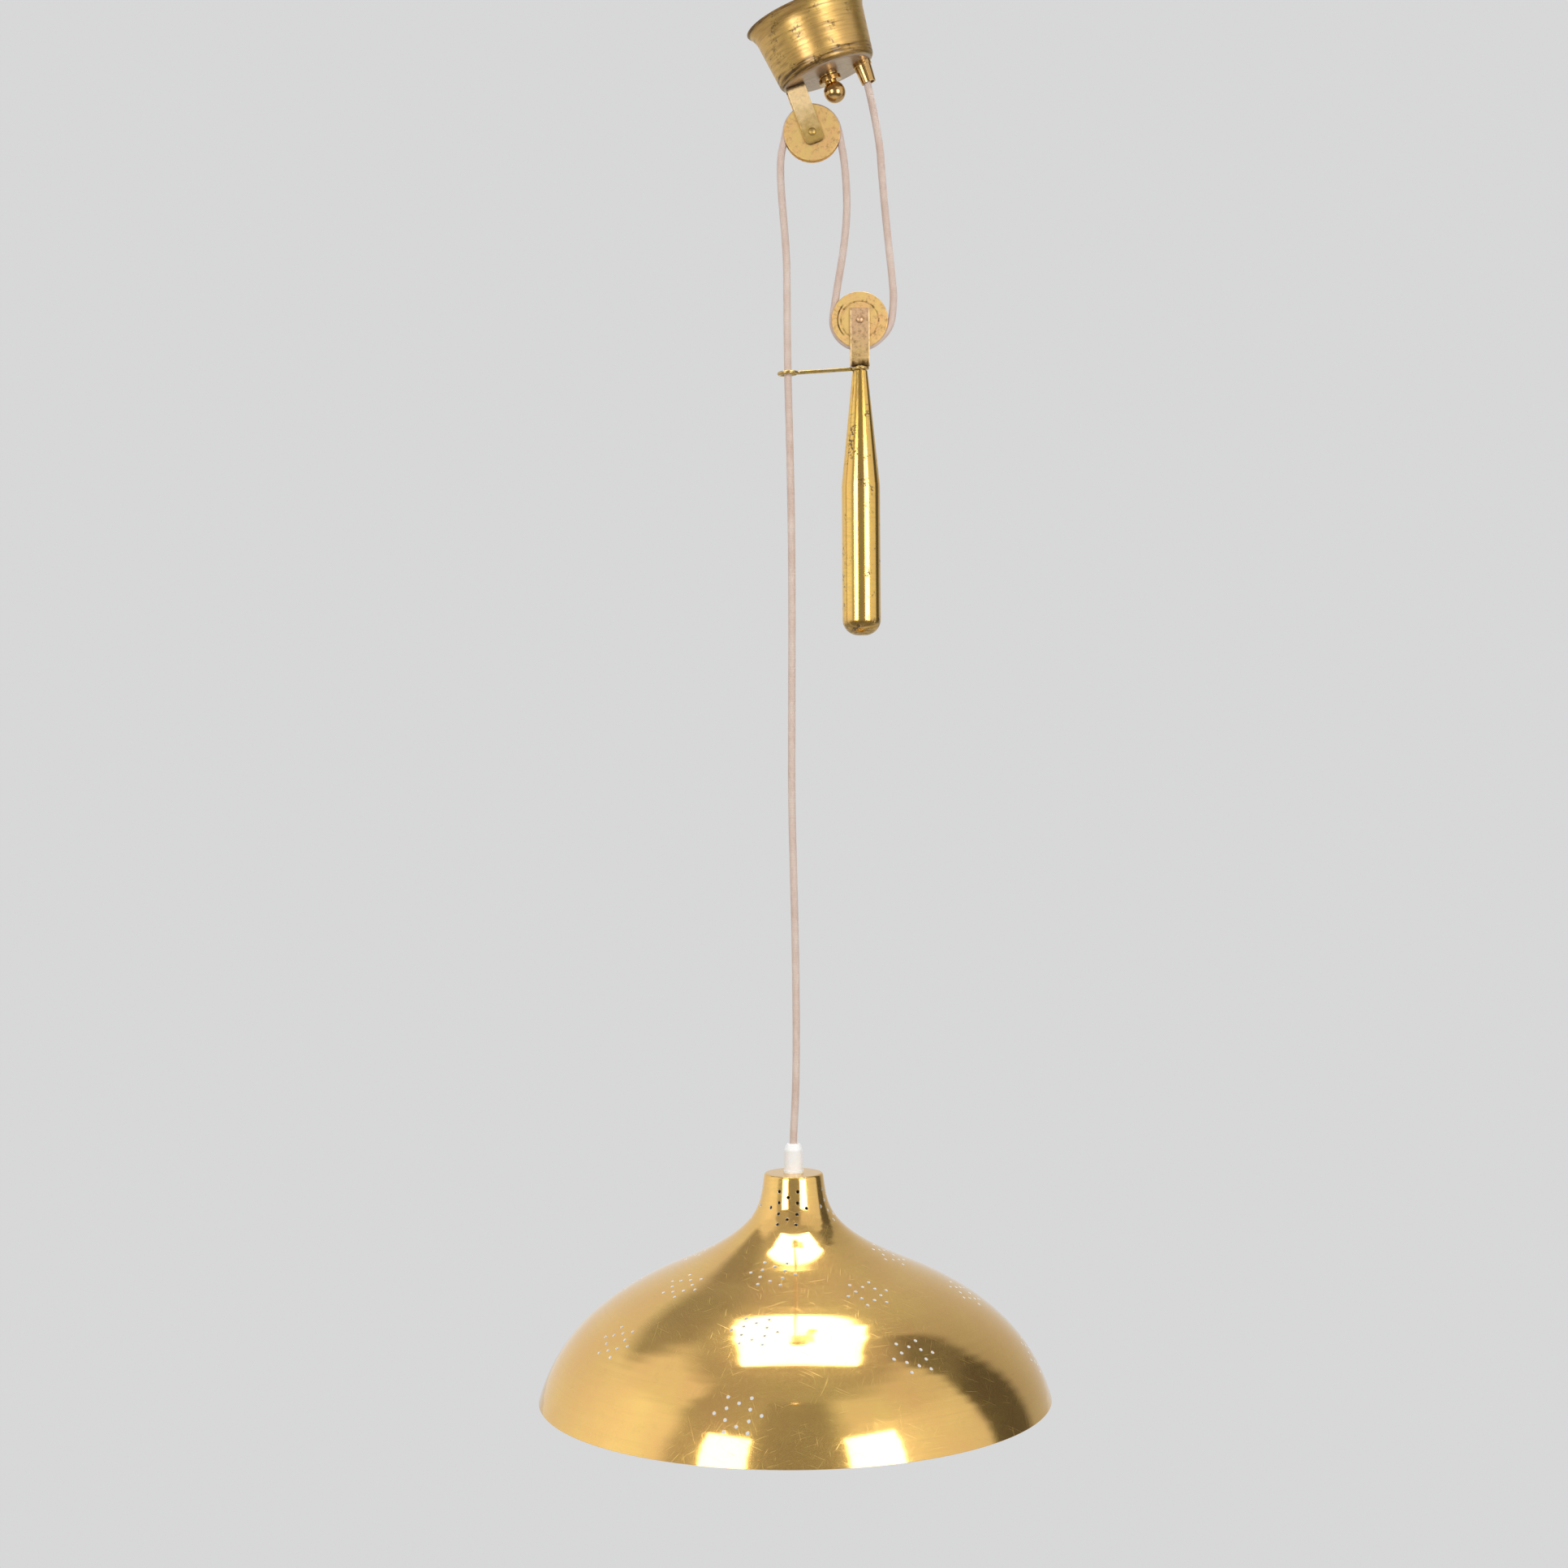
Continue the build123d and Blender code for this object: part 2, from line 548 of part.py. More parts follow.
holder_cap = holder_cap_form(0) - holder_cap_form(HOLDER_WALL)
holder_cap -= bar(nipple_hole_r, cap_low, cap_top + CUT_PAST)
holder_bore_r = HOLDER_R - HOLDER_BODY_WALL
holder_body = bar(HOLDER_R, body_low, cap_low) + bar(HOLDER_LIP_R, body_low, body_low + HOLDER_LIP_H)
holder_body -= bar(holder_bore_r, body_low - CUT_PAST, cap_low + CUT_PAST)
holder_insert = bar(HOLDER_R - HOLDER_WALL - PIN_CLEARANCE, cap_low, insert_top)
shell_r = holder_bore_r - SHELL_GAP
shell_low = cap_low - SHELL_H
screw_shell = bar(shell_r, shell_low, cap_low)
screw_shell -= bar(shell_r - SHELL_WALL, shell_low - CUT_PAST, cap_low + CUT_PAST)
contact_low = cap_low - CONTACT_H
centre_contact = bar(CONTACT_R, contact_low, cap_low)

bulb_cap_r = shell_r - SHELL_WALL - BULB_CAP_GAP
bulb_cap_top = contact_low - BULB_TIP_H
bulb_cap_low = bulb_cap_top - BULB_CAP_H
bulb_contact = bar(BULB_TIP_R, bulb_cap_top, contact_low)


def bulb_cap_form(inset):
    """The bulb's cap, or the space inside it once inset by the wall."""
    return turned(
        Polyline(
            (0, bulb_cap_top - inset), (BULB_CAP_TOP_R, bulb_cap_top - inset),
            (bulb_cap_r - inset, bulb_cap_top - BULB_CAP_SLOPE - inset), (bulb_cap_r - inset, bulb_cap_low),
            (0, bulb_cap_low), close=True,
        )
    )


def bulb_form(inset):
    """The bulb's glass, or the space inside it once inset by the wall."""
    neck = (bulb_cap_r - inset, bulb_cap_low)
    equator_z = bulb_cap_low - BULB_LENGTH + BULB_R
    radius = BULB_R - inset
    return turned(
        Bezier(
            neck, (neck[0], bulb_cap_low - BULB_NECK_PULL), (radius, equator_z + BULB_SHOULDER_PULL),
            (radius, equator_z),
        ),
        CenterArc((0, equator_z), radius, 0, -90),
        Polyline((0, equator_z - radius), (0, bulb_cap_low), neck),
    )


bulb_cap = bulb_cap_form(0) - bulb_cap_form(BULB_CAP_WALL)
bulb_glass = bulb_form(0) - bulb_form(BULB_WALL)

# Cord, one length in stretches, in the plane of the pulleys. Its points are chosen to follow the real hang.


def route_radii(points):
    """As large an arc at each corner as its two runs allow."""
    radii = []
    for before, corner, after in zip(points, points[1:], points[2:]):
        run_in = Vector(corner) - Vector(before)
        run_out = Vector(after) - Vector(corner)
        half_turn = radians(run_in.get_angle(run_out)) / 2
        radii.append(ARC_SHARE * min(run_in.length, run_out.length) / tan(half_turn))
    return radii


def route(*points):
    """Straight runs joined by tangent arcs."""
    return FilletPolyline(*points, radius=route_radii(points))


def touch_angle(wheel, point, side):
    """The angle on a pulley's pitch circle where a straight run from a point touches it."""
    dx, dz = point[0] - wheel[0], point[1] - wheel[1]
    return degrees(atan2(dz, dx)) + side * degrees(acos(PITCH_R / hypot(dx, dz)))


def on_pitch(wheel, angle):
    """The point of a pulley's pitch circle at an angle."""
    return wheel[0] + PITCH_R * cos(radians(angle)), wheel[1] + PITCH_R * sin(radians(angle))


def from_axle(wheel, bend):
    """The place of a bend that is measured from a pulley's axle."""
    return wheel[0] + bend[0], wheel[1] + bend[1]


def tube(name, *curves):
    """A round cord along a path, with its volume compared with section times length."""
    path = Plane.XZ * Wire([edge for curve in curves for edge in curve.edges()])
    section = Plane(path.position_at(0), z_dir=path.tangent_at(0)) * Circle(CORD_R)
    solid = sweep(section, path=path)
    bends = sorted({round(edge.radius, 1) for edge in path.edges().filter_by(GeomType.CIRCLE)})
    share = solid.volume / (pi * CORD_R**2 * path.length)
    print(f"{name}: length {path.length:.1f}, volume share {share:.4f}, radii {bends}")
    return solid


top_wheel = (pulley_x, pulley_z)
low_wheel = (weight_x, weight_z)
grip_top = lamp_z + GRIP_H

# Lamp side: bulges off the wheel, then hangs plumb
lamp_join = (lamp_x, pulley_z - LAMP_JOIN_DROP)
lamp_bulge = (lamp_x - LAMP_BULGE, pulley_z - LAMP_BULGE_DROP)
lamp_route = [lamp_join, (lamp_x, pulley_z - LAMP_PLUMB_DROP), lamp_bulge]
lamp_touch = touch_angle(top_wheel, lamp_route[-1], -1) + 360

# Left fall, from the canopy pulley to the counterweight's
fall_high = from_axle(top_wheel, FALL_HIGH)
fall_low = from_axle(top_wheel, FALL_LOW)
fall_touch_top = touch_angle(top_wheel, fall_high, 1)
fall_touch_low = touch_angle(low_wheel, fall_low, 1)

# Right fall, from the counterweight's pulley up to the gland
gland_inside = canopy_point(GLAND_OFFSET, locknut_top + BLOCK_ENTRY_DEPTH)
gland_bend = canopy_point(GLAND_OFFSET, -GLAND_LENGTH / 2)
rise_points = [from_axle(low_wheel, bend) for bend in RISE_BENDS]
rise_touch = touch_angle(low_wheel, rise_points[0], -1) + 360
gland_run = Vector(rise_points[-1]) - Vector(gland_bend)
gland_join = Vector(gland_bend) + gland_run.normalized() * GLAND_JOIN
gland_exit = (gland_join.X, gland_join.Y)

cords = {
    "cord_lamp_tail": tube("cord_lamp_tail", Line((lamp_x, grip_top), (lamp_x, lamp_z + insert_top))),
    "cord_lamp_strand": tube("cord_lamp_strand", Line(lamp_join, (lamp_x, grip_top))),
    "cord_canopy_loop": tube(
        "cord_canopy_loop",
        route(*lamp_route, on_pitch(top_wheel, lamp_touch)),
        CenterArc(top_wheel, PITCH_R, lamp_touch, fall_touch_top - lamp_touch),
    ),
    "cord_left_fall": tube(
        "cord_left_fall",
        route(on_pitch(top_wheel, fall_touch_top), fall_high, fall_low, on_pitch(low_wheel, fall_touch_low)),
    ),
    "cord_weight_loop": tube(
        "cord_weight_loop", CenterArc(low_wheel, PITCH_R, fall_touch_low, rise_touch - fall_touch_low)
    ),
    "cord_right_fall": tube(
        "cord_right_fall", route(on_pitch(low_wheel, rise_touch), *rise_points, gland_exit)
    ),
    "cord_gland_tail": tube("cord_gland_tail", route(gland_exit, gland_bend, gland_inside)),
}

canopy_pieces = {
    "canopy_cup": canopy_cup,
    "hanger_eye": hanger_eye,
    "hanger_nut": hanger_nut,
    "finial_collar": finial_collar,
    "finial_ball": finial_ball,
    "gland_body": Pos(GLAND_OFFSET, 0, 0) * gland_body,
    "gland_locknut": Pos(GLAND_OFFSET, 0, 0) * gland_locknut,
    "terminal_block": Pos(GLAND_OFFSET, 0, 0) * terminal_block,
    "terminal_screws": Pos(GLAND_OFFSET, 0, 0) * Compound(terminal_screws),
    "canopy_yoke": canopy_yoke,
    "canopy_axle": canopy_axle,
    "yoke_screw": yoke_screw,
    "yoke_nut": yoke_nut,
}
weight_pieces = {
    "weight_shell": weight_shell,
    "weight_core": weight_core,
    "weight_stud": weight_stud,
    "weight_nut": weight_nut,
    "weight_yoke": weight_yoke,
    "weight_axle": axle(),
    "guide_wire": guide_wire,
}
lamp_pieces = {
    "shade": shade,
    "cord_grip": cord_grip,
    "grip_nipple": grip_nipple,
    "nipple_washer": nipple_washer,
    "nipple_nut": nipple_nut,
    "holder_cap": holder_cap,
    "holder_body": holder_body,
    "holder_insert": holder_insert,
    "screw_shell": screw_shell,
    "centre_contact": centre_contact,
    "bulb_contact": bulb_contact,
    "bulb_cap": bulb_cap,
    "bulb_glass": bulb_glass,
}
nodes = {name: in_canopy(piece) for name, piece in canopy_pieces.items()}
nodes |= {name: at_weight(piece) for name, piece in weight_pieces.items()}
nodes |= {name: at_lamp(piece) for name, piece in lamp_pieces.items()}
nodes |= {"canopy_pulley": canopy_pulley, "weight_pulley": weight_pulley}
nodes |= cords

os.makedirs("parts", exist_ok=True)
for name, piece in nodes.items():
    export_step(piece, f"parts/{name}.step")
print(f"canopy pulley at {pulley_x:.3f}, {pulley_z:.3f}; weight axle at {weight_x:.3f}, {weight_z:.3f}")
print(f"lamp axis {lamp_x:.3f}, shade top {lamp_z:.3f}, rim {lamp_z - SHADE_HEIGHT:.3f}")
print(f"cord joins: lamp {lamp_join}, gland {gland_exit}, low touch {on_pitch(low_wheel, fall_touch_low)}")
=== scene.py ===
from math import cos, pi, radians, sin

import bmesh
import bpy
from mathutils import Euler, Matrix, Vector
from mathutils.geometry import interpolate_bezier


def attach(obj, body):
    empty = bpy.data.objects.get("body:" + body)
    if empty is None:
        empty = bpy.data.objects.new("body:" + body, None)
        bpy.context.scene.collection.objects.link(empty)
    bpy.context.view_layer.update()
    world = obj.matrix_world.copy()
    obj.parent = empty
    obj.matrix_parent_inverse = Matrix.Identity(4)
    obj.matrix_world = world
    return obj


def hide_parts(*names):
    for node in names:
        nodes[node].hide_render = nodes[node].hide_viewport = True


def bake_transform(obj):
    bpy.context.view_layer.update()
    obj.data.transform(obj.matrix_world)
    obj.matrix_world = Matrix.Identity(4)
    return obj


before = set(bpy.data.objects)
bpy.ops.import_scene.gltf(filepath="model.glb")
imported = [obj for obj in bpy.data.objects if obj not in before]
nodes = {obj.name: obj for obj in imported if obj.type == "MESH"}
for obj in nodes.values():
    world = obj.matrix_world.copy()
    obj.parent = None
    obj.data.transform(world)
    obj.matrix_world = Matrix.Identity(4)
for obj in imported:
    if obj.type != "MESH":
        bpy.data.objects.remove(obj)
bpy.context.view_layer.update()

# Canopy cup: spun from brass sheet with a flared mouth, and brushed round its own axis. It leans on
# its hook, so the brushing and the brown streaks of old polish follow the leaning axis.
CUP_CENTRE = (0, 0, 0)
CUP_LEAN = radians(-20)
CUP_BRASS = (0.56, 0.365, 0.105)
# The brown of tarnish, also used for the painted shade of the darker bands.
TARNISH_AND_SHADE_BROWN = (0.13, 0.072, 0.022)
BRASS_EDGE = (1.0, 0.86, 0.58, 1)
CUP_FLOOR_PALE = (0.46, 0.37, 0.29)
CUP_CORNER_Z = -0.0315
CUP_RIM_Z = 0.0115
CUP_FLOOR_Z = -0.0355
RINGS_PER_METRE = 2600.0
STREAKS_PER_METRE = 620.0
HAZE_PER_METRE = 22.0
SPECKS_PER_METRE = 520.0
SPECKS_TO_A_PATCH = 6
GRAIN_PER_METRE = 9000.0
RELIEF_DEPTH = 0.0004
RUBBED_EDGE = 0.0004
SCRATCH_STRETCH = 50
SCRATCH_LAYS = [((0.2, 0.7, 0.3), 2400.0), ((-0.3, -1.1, 0.5), 2000.0), ((0.0, -0.1, 0.3), 2700.0),
                ((0.0, -0.85, 2.04), 2200.0)]


def add(tree, kind, inputs=(), **settings):
    """A node whose inputs are numbers or other nodes' outputs, by name or by place."""
    node = tree.nodes.new(kind)
    for setting, value in settings.items():
        setattr(node, setting, value)
    for socket, value in dict(inputs).items():
        if isinstance(value, bpy.types.NodeSocket):
            tree.links.new(value, node.inputs[socket])
        else:
            node.inputs[socket].default_value = value
    return node


def new_finish(name):
    """A material with its node tree and its shader."""
    finish = bpy.data.materials.new(name)
    finish.use_nodes = True
    return finish, finish.node_tree, finish.node_tree.nodes["Principled BSDF"]


def sum_of(tree, first, second):
    return add(tree, "ShaderNodeMath", {0: first, 1: second}, operation="ADD").outputs[0]


def product_of(tree, first, second):
    return add(tree, "ShaderNodeMath", {0: first, 1: second}, operation="MULTIPLY").outputs[0]


def ramp(tree, value, low, high, least=0.0, most=1.0):
    """A value stretched from one span to another and held inside it."""
    places = {"Value": value, "From Min": low, "From Max": high, "To Min": least, "To Max": most}
    return add(tree, "ShaderNodeMapRange", places).outputs[0]


def blend_colours(tree, share, first, second):
    """First where the share is nought, second where it is one."""
    mix = add(tree, "ShaderNodeMix", {0: share}, data_type="RGBA")
    for socket, colour in ((mix.inputs[6], first), (mix.inputs[7], second)):
        if isinstance(colour, bpy.types.NodeSocket):
            tree.links.new(colour, socket)
        else:
            socket.default_value = (*colour, 1)
    return mix.outputs[2]


def plain_place(tree):
    """Places in the frame of the whole lamp."""
    return add(tree, "ShaderNodeTexCoord").outputs["Object"]


def upright_place(tree, centre, turn):
    """Places on a piece as seen from its own centre, with its axis up."""
    places = {"Vector": plain_place(tree), "Location": centre, "Rotation": turn}
    return add(tree, "ShaderNodeMapping", places, vector_type="TEXTURE").outputs[0]


def from_axis(tree, place):
    """The way out from the upright axis, the distance from it and the height along it."""
    parts = add(tree, "ShaderNodeSeparateXYZ", {0: place})
    across = add(tree, "ShaderNodeCombineXYZ", {0: parts.outputs[0], 1: parts.outputs[1]}).outputs[0]
    radius = add(tree, "ShaderNodeVectorMath", {0: across}, operation="LENGTH").outputs["Value"]
    heading = add(tree, "ShaderNodeVectorMath", {0: across}, operation="NORMALIZE").outputs[0]
    return heading, radius, parts.outputs[2]


def lathe_marks(tree, place, round_count, per_metre, detail):
    """Noise drawn out round the upright axis, as a lathe or a polishing wheel leaves it."""
    heading, radius, height = from_axis(tree, place)
    swept = {0: heading, "Scale": round_count}
    swept = add(tree, "ShaderNodeVectorMath", swept, operation="SCALE").outputs[0]
    lifted = add(tree, "ShaderNodeCombineXYZ", {2: product_of(tree, height, per_metre)}).outputs[0]
    spot = add(tree, "ShaderNodeVectorMath", {0: swept, 1: lifted}, operation="ADD").outputs[0]
    depth = product_of(tree, radius, per_metre)
    marks = {"Vector": spot, "W": depth, "Scale": 1.0, "Detail": detail, "Roughness": 0.6}
    return add(tree, "ShaderNodeTexNoise", marks, noise_dimensions="4D").outputs[0]


def cloud(tree, place, per_metre, detail=3.0):
    """Soft uneven patches with this many to the metre."""
    spots = {"Vector": place, "Scale": per_metre, "Detail": detail, "Roughness": 0.6}
    return add(tree, "ShaderNodeTexNoise", spots).outputs[0]


def scratches(tree, place, turn, per_metre):
    """Sparse fine lines, many times as long as they are wide, that lie one way."""
    fine, drawn_out = 1 / per_metre, SCRATCH_STRETCH / per_metre
    turned = {"Vector": place, "Rotation": turn, "Scale": (fine, drawn_out, drawn_out)}
    lines = add(tree, "ShaderNodeMapping", turned, vector_type="TEXTURE").outputs[0]
    noise = add(tree, "ShaderNodeTexNoise", {"Vector": lines, "Scale": 1.0, "Detail": 1.0}).outputs[0]
    return ramp(tree, noise, 0.71, 0.76)


def specks(tree, place, per_metre):
    """Small ragged spots that gather in patches."""
    spots = ramp(tree, cloud(tree, place, per_metre, detail=4.0), 0.47, 0.58)
    patches = ramp(tree, cloud(tree, place, per_metre / SPECKS_TO_A_PATCH), 0.56, 0.64)
    return product_of(tree, spots, patches)


def near(tree, value, target, reach):
    """One where a value is at a target, fading to nought at a reach from it."""
    apart = add(tree, "ShaderNodeMath", {0: value, 1: target}, operation="SUBTRACT").outputs[0]
    apart = add(tree, "ShaderNodeMath", {0: apart}, operation="ABSOLUTE").outputs[0]
    return ramp(tree, apart, reach, 0.5 * reach)


def relief_on_edges(tree, shader, height, strength, edge):
    """Fine relief, over edges that are rubbed round."""
    soft_edge = add(tree, "ShaderNodeBevel", {"Radius": edge}, samples=4).outputs[0]
    bump = {"Strength": strength, "Distance": RELIEF_DEPTH, "Height": height, "Normal": soft_edge}
    tree.links.new(add(tree, "ShaderNodeBump", bump).outputs[0], shader.inputs["Normal"])


def brass(name, colour, roughness, axis, lean, streaks, spots, rings, scuffs, lacquer=0.8, patina_and_shade=(),
          underside=None, haze_rough=0.0):
    """Brass made round an axis, with lathe rings, brown streaks and spots, scuffs, and darker bands of brown
    patina and painted shade.
    """
    finish, tree, shader = new_finish(name)
    place = upright_place(tree, axis, (0, lean, 0))
    height = from_axis(tree, place)[2]
    fine = lathe_marks(tree, place, round_count=3.0, per_metre=RINGS_PER_METRE, detail=2.0)
    coarse = lathe_marks(tree, place, round_count=2.4, per_metre=STREAKS_PER_METRE, detail=5.0)
    haze = cloud(tree, place, HAZE_PER_METRE, detail=4.0)
    brown = product_of(tree, ramp(tree, coarse, 0.46, 0.66), ramp(tree, haze, 0.34, 0.56, 0.25, 1.0))
    brown = product_of(tree, brown, streaks)
    brown = sum_of(tree, brown, product_of(tree, specks(tree, place, SPECKS_PER_METRE), spots))
    # Darker bands at given heights: brown patina and painted shade.
    for band_at, reach in patina_and_shade:
        patina_and_shade_band = product_of(tree, near(tree, height, band_at, reach), ramp(tree, coarse, 0.32, 0.60, 0.15, 0.75))
        brown = sum_of(tree, brown, patina_and_shade_band)
    worn = 0.0
    for turn, per_metre in SCRATCH_LAYS:
        worn = sum_of(tree, worn, scratches(tree, place, turn, per_metre))
    worn = product_of(tree, worn, scuffs)
    rosy = (colour[0] * 0.96, colour[1] * 0.88, colour[2] * 0.95)
    hue = blend_colours(tree, ramp(tree, haze, 0.35, 0.65), rosy, colour)
    hue = blend_colours(tree, brown, hue, TARNISH_AND_SHADE_BROWN)
    if underside:
        below, pale = underside
        hue = blend_colours(tree, ramp(tree, height, below + 0.0005, below), hue, pale)
    tree.links.new(hue, shader.inputs["Base Color"])
    gloss = ramp(tree, fine, 0.2, 0.8, roughness - rings, roughness + rings)
    gloss = sum_of(tree, gloss, product_of(tree, brown, 0.3))
    gloss = sum_of(tree, gloss, product_of(tree, ramp(tree, haze, 0.3, 0.7), rings))
    gloss = sum_of(tree, gloss, product_of(tree, worn, 0.5))
    if haze_rough:
        wiped = cloud(tree, place, GRAIN_PER_METRE, detail=1.0)
        gloss = sum_of(tree, gloss, ramp(tree, wiped, 0.61, 0.65, 0.0, haze_rough))
    tree.links.new(gloss, shader.inputs["Roughness"])
    relief = sum_of(tree, product_of(tree, fine, 0.5), product_of(tree, worn, -1.0))
    relief_on_edges(tree, shader, relief, strength=rings, edge=RUBBED_EDGE)
    shader.inputs["Metallic"].default_value = 1.0
    shader.inputs["Specular Tint"].default_value = BRASS_EDGE
    shader.inputs["Coat Weight"].default_value = lacquer
    shader.inputs["Coat Roughness"].default_value = 0.5 * roughness
    return finish


def coat(finish, *names):
    """Gives CAD nodes their finish."""
    for name in names:
        nodes[name].data.materials.clear()
        nodes[name].data.materials.append(finish)


# The darker bands at the corner and at the rim are brown tarnish and painted shade together.
brushed_brass = brass("brushed_cup_brass", CUP_BRASS, roughness=0.31, axis=CUP_CENTRE, lean=CUP_LEAN,
                      streaks=0.60, spots=0.5, rings=0.10, scuffs=0.3, lacquer=0.4,
                      patina_and_shade=((CUP_CORNER_Z, 0.006), (CUP_RIM_Z, 0.003)),
                      underside=(CUP_FLOOR_Z, CUP_FLOOR_PALE))
coat(brushed_brass, "canopy_cup")

# Hanger eye, locknuts and the screws inside the cup and the shade: steel, zinc plated and passivated,
# bought in and screwed up by hand. Little of it is seen once the lamp hangs.
ZINC = (0.60, 0.60, 0.57)
ZINC_BLOOM = (0.47, 0.44, 0.36)


def vary_gloss(tree, shader, pattern, least, most):
    """Roughness between two values, by the middle of a pattern."""
    tree.links.new(ramp(tree, pattern, 0.3, 0.7, least, most), shader.inputs["Roughness"])


plated_steel, tree, shader = new_finish("plated_steel")
place = plain_place(tree)
bloom = ramp(tree, cloud(tree, place, per_metre=140.0, detail=4.0), 0.35, 0.7)
tree.links.new(blend_colours(tree, bloom, ZINC, ZINC_BLOOM), shader.inputs["Base Color"])
vary_gloss(tree, shader, cloud(tree, place, per_metre=900.0), least=0.28, most=0.48)
shader.inputs["Metallic"].default_value = 1.0
coat(plated_steel, "hanger_eye", "hanger_nut", "gland_locknut", "yoke_screw", "yoke_nut",
     "grip_nipple", "nipple_washer", "nipple_nut")

# Terminal block inside the cup: moulded white plastic with brass clamping screws, on the gland's nut.
# The cord grip on the shade's top is the same plastic, and screws onto the threaded tube.
MOULDED_WHITE = (0.86, 0.855, 0.84)
AGED_WHITE = (0.81, 0.80, 0.77)

moulded_white, tree, shader = new_finish("moulded_white")
place = plain_place(tree)
aged = ramp(tree, cloud(tree, place, per_metre=60.0), 0.3, 0.7)
tree.links.new(blend_colours(tree, aged, MOULDED_WHITE, AGED_WHITE), shader.inputs["Base Color"])
pores = cloud(tree, place, per_metre=700.0)
vary_gloss(tree, shader, pores, least=0.24, most=0.36)
relief_on_edges(tree, shader, pores, strength=0.04, edge=RUBBED_EDGE)
shader.inputs["Subsurface Weight"].default_value = 0.1
shader.inputs["Subsurface Scale"].default_value = 0.002
coat(moulded_white, "terminal_block", "holder_insert", "cord_grip")

# Finial and gland: turned from brass bar and polished. The collar and ball screw onto the hanger's
# shank under the cup, and the gland holds the flex where it leaves.
TURNED_BRASS = (0.54, 0.34, 0.10)
GLAND_OFFSET = 0.0260
GLAND_AXIS = (GLAND_OFFSET * cos(CUP_LEAN), 0, -GLAND_OFFSET * sin(CUP_LEAN))

finial_brass, gland_brass = [
    brass(name, TURNED_BRASS, roughness=0.15, axis=axis, lean=CUP_LEAN, streaks=0.25, spots=0.2, rings=0.01,
          scuffs=0.1)
    for name, axis in (("turned_finial_brass", CUP_CENTRE), ("turned_gland_brass", GLAND_AXIS))
]
coat(finial_brass, "finial_collar", "finial_ball")
coat(gland_brass, "gland_body")

# Pulleys: turned brass wheels, gone dull. The counterweight's has a ring turned in its faces, where dirt
# has stayed, and a rubbed arc outside it.
WHEEL_BRASS = (0.76, 0.53, 0.195)
WHEEL_ROSY = (0.76, 0.47, 0.20)
TOP_WHEEL = Vector((0.000108, 0, -0.076901))
LOW_WHEEL = Vector((0.034258, 0, -0.214801))
AXLE_LIES = radians(90)
WHEEL_EDGE = 0.0005
TURNED_RING_R = 0.0140
TURNED_RING_WIDE = 0.0008
RUBBED_ARC_R = 0.0163
RUBBED_ARC_WIDE = 0.0007


def wheel_brass(name, axle, ringed):
    """Dull turned brass with rosy blotches and brown marks, and with dirt in a turned ring or without one."""
    finish, tree, shader = new_finish(name)
    place = upright_place(tree, axle, (AXLE_LIES, 0, 0))
    marks = lathe_marks(tree, place, round_count=4.0, per_metre=1900.0, detail=3.0)
    blotches = cloud(tree, place, per_metre=120.0, detail=5.0)
    patches = cloud(tree, place, per_metre=420.0, detail=4.0)
    hue = blend_colours(tree, ramp(tree, blotches, 0.42, 0.62), WHEEL_BRASS, WHEEL_ROSY)
    darkening = product_of(tree, ramp(tree, patches, 0.50, 0.72), ramp(tree, blotches, 0.44, 0.60, 0.1, 0.6))
    if ringed:
        heading, radius = from_axis(tree, place)[:2]
        leftward = ramp(tree, add(tree, "ShaderNodeSeparateXYZ", {0: heading}).outputs[0], -0.70, -0.80)
        arc = product_of(tree, near(tree, radius, RUBBED_ARC_R, RUBBED_ARC_WIDE), leftward)
        ring = near(tree, radius, TURNED_RING_R, TURNED_RING_WIDE)
        ring = product_of(tree, ring, ramp(tree, patches, 0.35, 0.65))
        darkening = sum_of(tree, darkening, product_of(tree, ring, 0.6))
        darkening = sum_of(tree, darkening, product_of(tree, arc, 0.8))
    tree.links.new(blend_colours(tree, darkening, hue, TARNISH_AND_SHADE_BROWN), shader.inputs["Base Color"])
    gloss = ramp(tree, marks, 0.25, 0.75, 0.40, 0.52)
    tree.links.new(sum_of(tree, gloss, product_of(tree, darkening, 0.3)), shader.inputs["Roughness"])
    relief = sum_of(tree, marks, product_of(tree, patches, 0.5))
    relief_on_edges(tree, shader, relief, strength=0.10, edge=WHEEL_EDGE)
    shader.inputs["Metallic"].default_value = 1.0
    shader.inputs["Specular Tint"].default_value = BRASS_EDGE
    return finish


coat(wheel_brass("canopy_wheel_brass", TOP_WHEEL, False), "canopy_pulley")
coat(wheel_brass("weight_wheel_brass", LOW_WHEEL, True), "weight_pulley")

# Strap yokes and their rivets: bent from brass strip, drilled and riveted over the wheels. The canopy's is
# painted paler towards the top, as painted light, and both are darker at an end or a bend, with brown patina
# and painted shade.
STRAP_WIDE = 0.0142
STRAP_EDGE = 0.0006
# Pale lines along the strap's edges: rubbed brass and painted highlight.
PALE_EDGE_FROM = 0.5 * STRAP_WIDE - 0.0011
PALE_EDGE_TO = 0.5 * STRAP_WIDE - 0.0005
STRAP_PALE = (0.95, 0.72, 0.40)
STRAP_OLIVE = (0.48, 0.32, 0.10)
STRAP_ROSY = (0.62, 0.40, 0.23)
STRAP_GOLD = (0.60, 0.41, 0.18)


